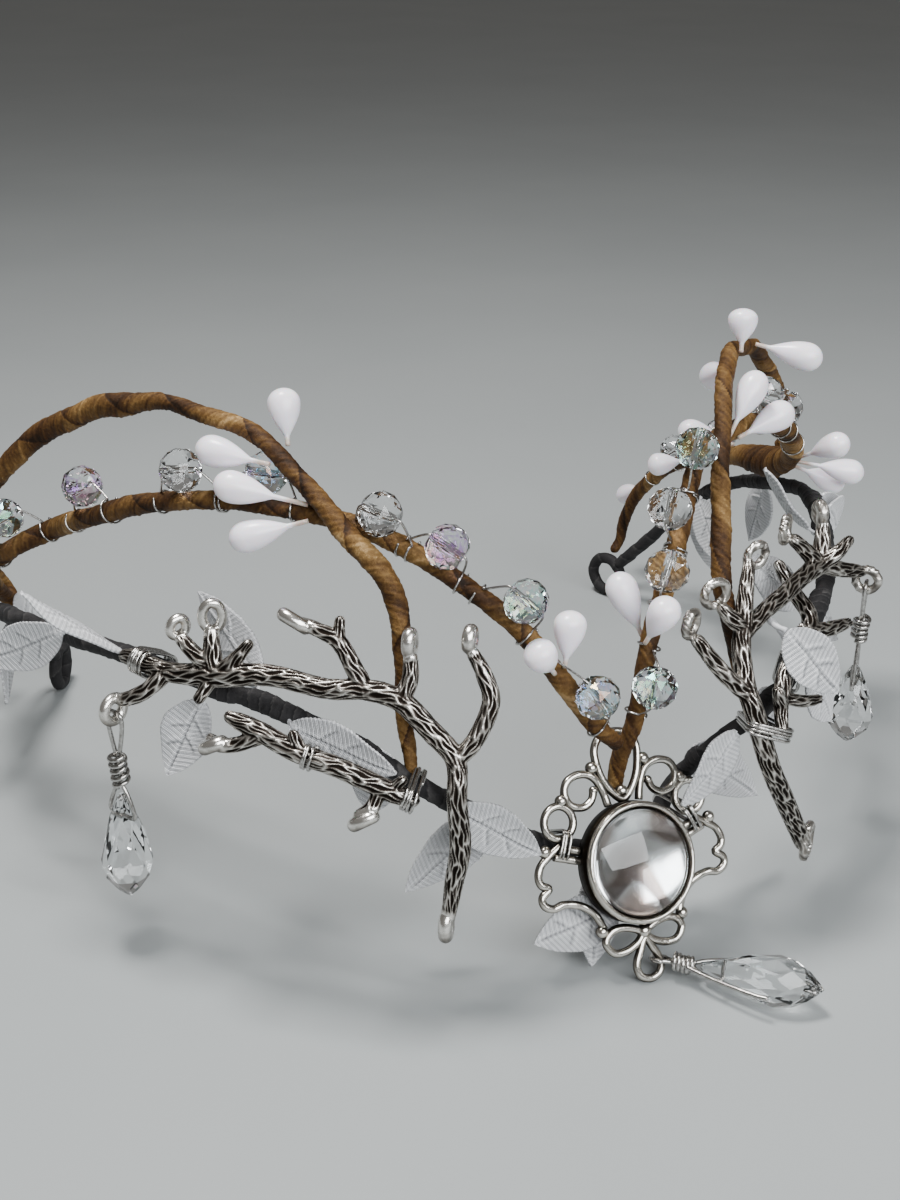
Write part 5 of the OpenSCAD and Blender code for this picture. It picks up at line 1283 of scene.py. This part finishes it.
def drop_wire(name, eye, way, side, leg_side, neck_at, neck_end, top, body, tail):
    """A drop's wire: a loop through the eye, two legs to the stone's hole, and a coil round both whose
    turns wander, ending in a cut tail."""
    way, side = unit(way), unit(side)
    front = np.cross(way, side)

    def wound(down_at, out, angle):
        """Points round the drop's axis: how far down, how far out, and the angle from the side."""
        ring = np.outer(np.cos(angle), side) + np.outer(np.sin(angle), front)
        return eye + np.outer(down_at, way) + ring * (out + 0 * angle)[:, None]

    hole_at = top + drop_hole_at
    loop_half = [[0.3, neck_at + 1.2], [0.5, neck_at], [1.3, neck_at * 0.6], [1.7, 2.6], [1.5, 1.1],
                 [0.8, 0.55]]
    legs_half = [[0.3, neck_end - 0.6], [1.5, (neck_end + top) / 2 + 0.4], [2.5, top + 1.8],
                 [3, hole_at - 0.7], [2.3, hole_at]]
    length = neck_end - neck_at
    k = np.linspace(0, 1, 110)
    turn = 2 * np.pi * 4.6 * k
    radius = 1.3 + 0.16 * np.sin(5.3 * turn / 6.28) + 0.08 * np.sin(11 * k)
    along = neck_at + 0.3 + (length - 0.6) * (k + 0.035 * np.sin(9 * np.pi * k))
    coil = wound(along, radius, turn)
    loop = smooth(halves(eye, way, side, loop_half, 0.45), 8)
    legs = smooth(halves(eye, way, unit(leg_side), legs_half, hole_at), 8)
    twist = np.linspace(0, 1, 24)
    strands = [wound(neck_at - 0.2 + (length + 0.4) * twist, 0.45, 5 * twist + s) for s in (0, np.pi)]
    lines = [loop, legs, coil, *strands, *tail]
    skins = [wire_skin(evened(line, 0.2)[0], drop_wire_r, 12) for line in lines]
    made = piece(name + "_silver", joined(skins), wire_silver, body)
    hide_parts(name)


down = np.array([0, 0, -1.0])
for k, name in enumerate(("left", "right")):
    neck_at, neck_end, top, length = drop_rows[k]
    body = "drop_" + name
    drop_stone("drop_stone_" + name, eye_point(k) + down * top, down, eye_axis(k), length, body)
    drop_wire("drop_wire_" + name, eye_point(k), down, eye_axis(k), eye_axis(k), neck_at, neck_end, top,
              body, [])
neck_at, neck_end, top, length = drop_rows[2]
centre_way = unit([0.7, -0.71, 0.069])
centre_eye = medallion_spot(2.2, -17.6) - centre_way * 1.9
centre_leg_side = unit(np.cross(centre_way, [0, 0, 1]))
centre_loop_side = unit(np.cross(medallion_spot(0, 1) - medallion_spot(0, 0), centre_way))
drop_stone("drop_stone_centre", centre_eye + centre_way * top, centre_way, centre_leg_side, length,
           "circlet")
near_side = unit([-0.71, -0.7, 0])
tail_rows = [[6, 0.9, 0.5], [8, 1.6, 0.2], [12, 2.9, 0], [17, 4.4, 0], [20, 5.1, 0], [22, 5.3, 0]]
tail_line = centre_eye + np.array(tail_rows, float) @ np.array([centre_way, near_side, [0, 0, 1]])
drop_wire("drop_wire_centre", centre_eye, centre_way, centre_loop_side, centre_leg_side, neck_at,
          neck_end, top, "circlet", [smooth(tail_line, 6)])

# Table and light: a plain pale table, a large soft window light from the upper left behind the piece
# and a weak fill, in a dim grey room.
floor_mesh = bpy.data.meshes.new("table")
floor_mesh.from_pydata([(-6, -3, 0), (6, -3, 0), (6, 9, 0), (-6, 9, 0)], [], [(0, 1, 2, 3)])
floor = bpy.data.objects.new("table", floor_mesh)
bpy.context.scene.collection.objects.link(floor)
table_grey, tree, shader = new_material("Pale grey table", Roughness=0.42, Specular_IOR_Level=0.3)
mottle = noise(tree, 8, 3)
paint(tree, shader, ramp(tree, mottle, [(0.3, (0.312, 0.33, 0.335)), (0.7, (0.332, 0.35, 0.354))]))
floor_mesh.materials.append(table_grey)

world = bpy.data.worlds.new("Room")
world.use_nodes = True
world.node_tree.nodes["Background"].inputs["Color"].default_value = (0.175, 0.17, 0.162, 1)
world.node_tree.nodes["Background"].inputs["Strength"].default_value = 1.0
bpy.context.scene.world = world


def soft_light(name, at, aim, width, height, power, colour):
    """A flat light of a width and height in metres at a place, facing a point."""
    data = bpy.data.lights.new(name, "AREA")
    data.shape = "RECTANGLE"
    data.size = width
    data.size_y = height
    data.energy = power
    data.color = colour
    lamp = bpy.data.objects.new(name, data)
    n = unit(np.array(at, float) - np.array(aim, float))
    x = unit(np.cross([0, 0, 1.0], n))
    y = np.cross(n, x)
    lamp.matrix_world = Matrix(np.vstack([np.column_stack([x, y, n, at]), [0, 0, 0, 1]]).tolist())
    bpy.context.scene.collection.objects.link(lamp)


soft_light("Window", (-0.11, 0.06, 0.58), (0.0, -0.06, 0.02), 0.15, 0.13, 4.7, (1.0, 0.99, 0.97))
soft_light("Fill", (0.08, -0.75, 0.5), (0.02, -0.4, 0), 0.8, 0.5, 12.5, (0.96, 0.985, 1.0))
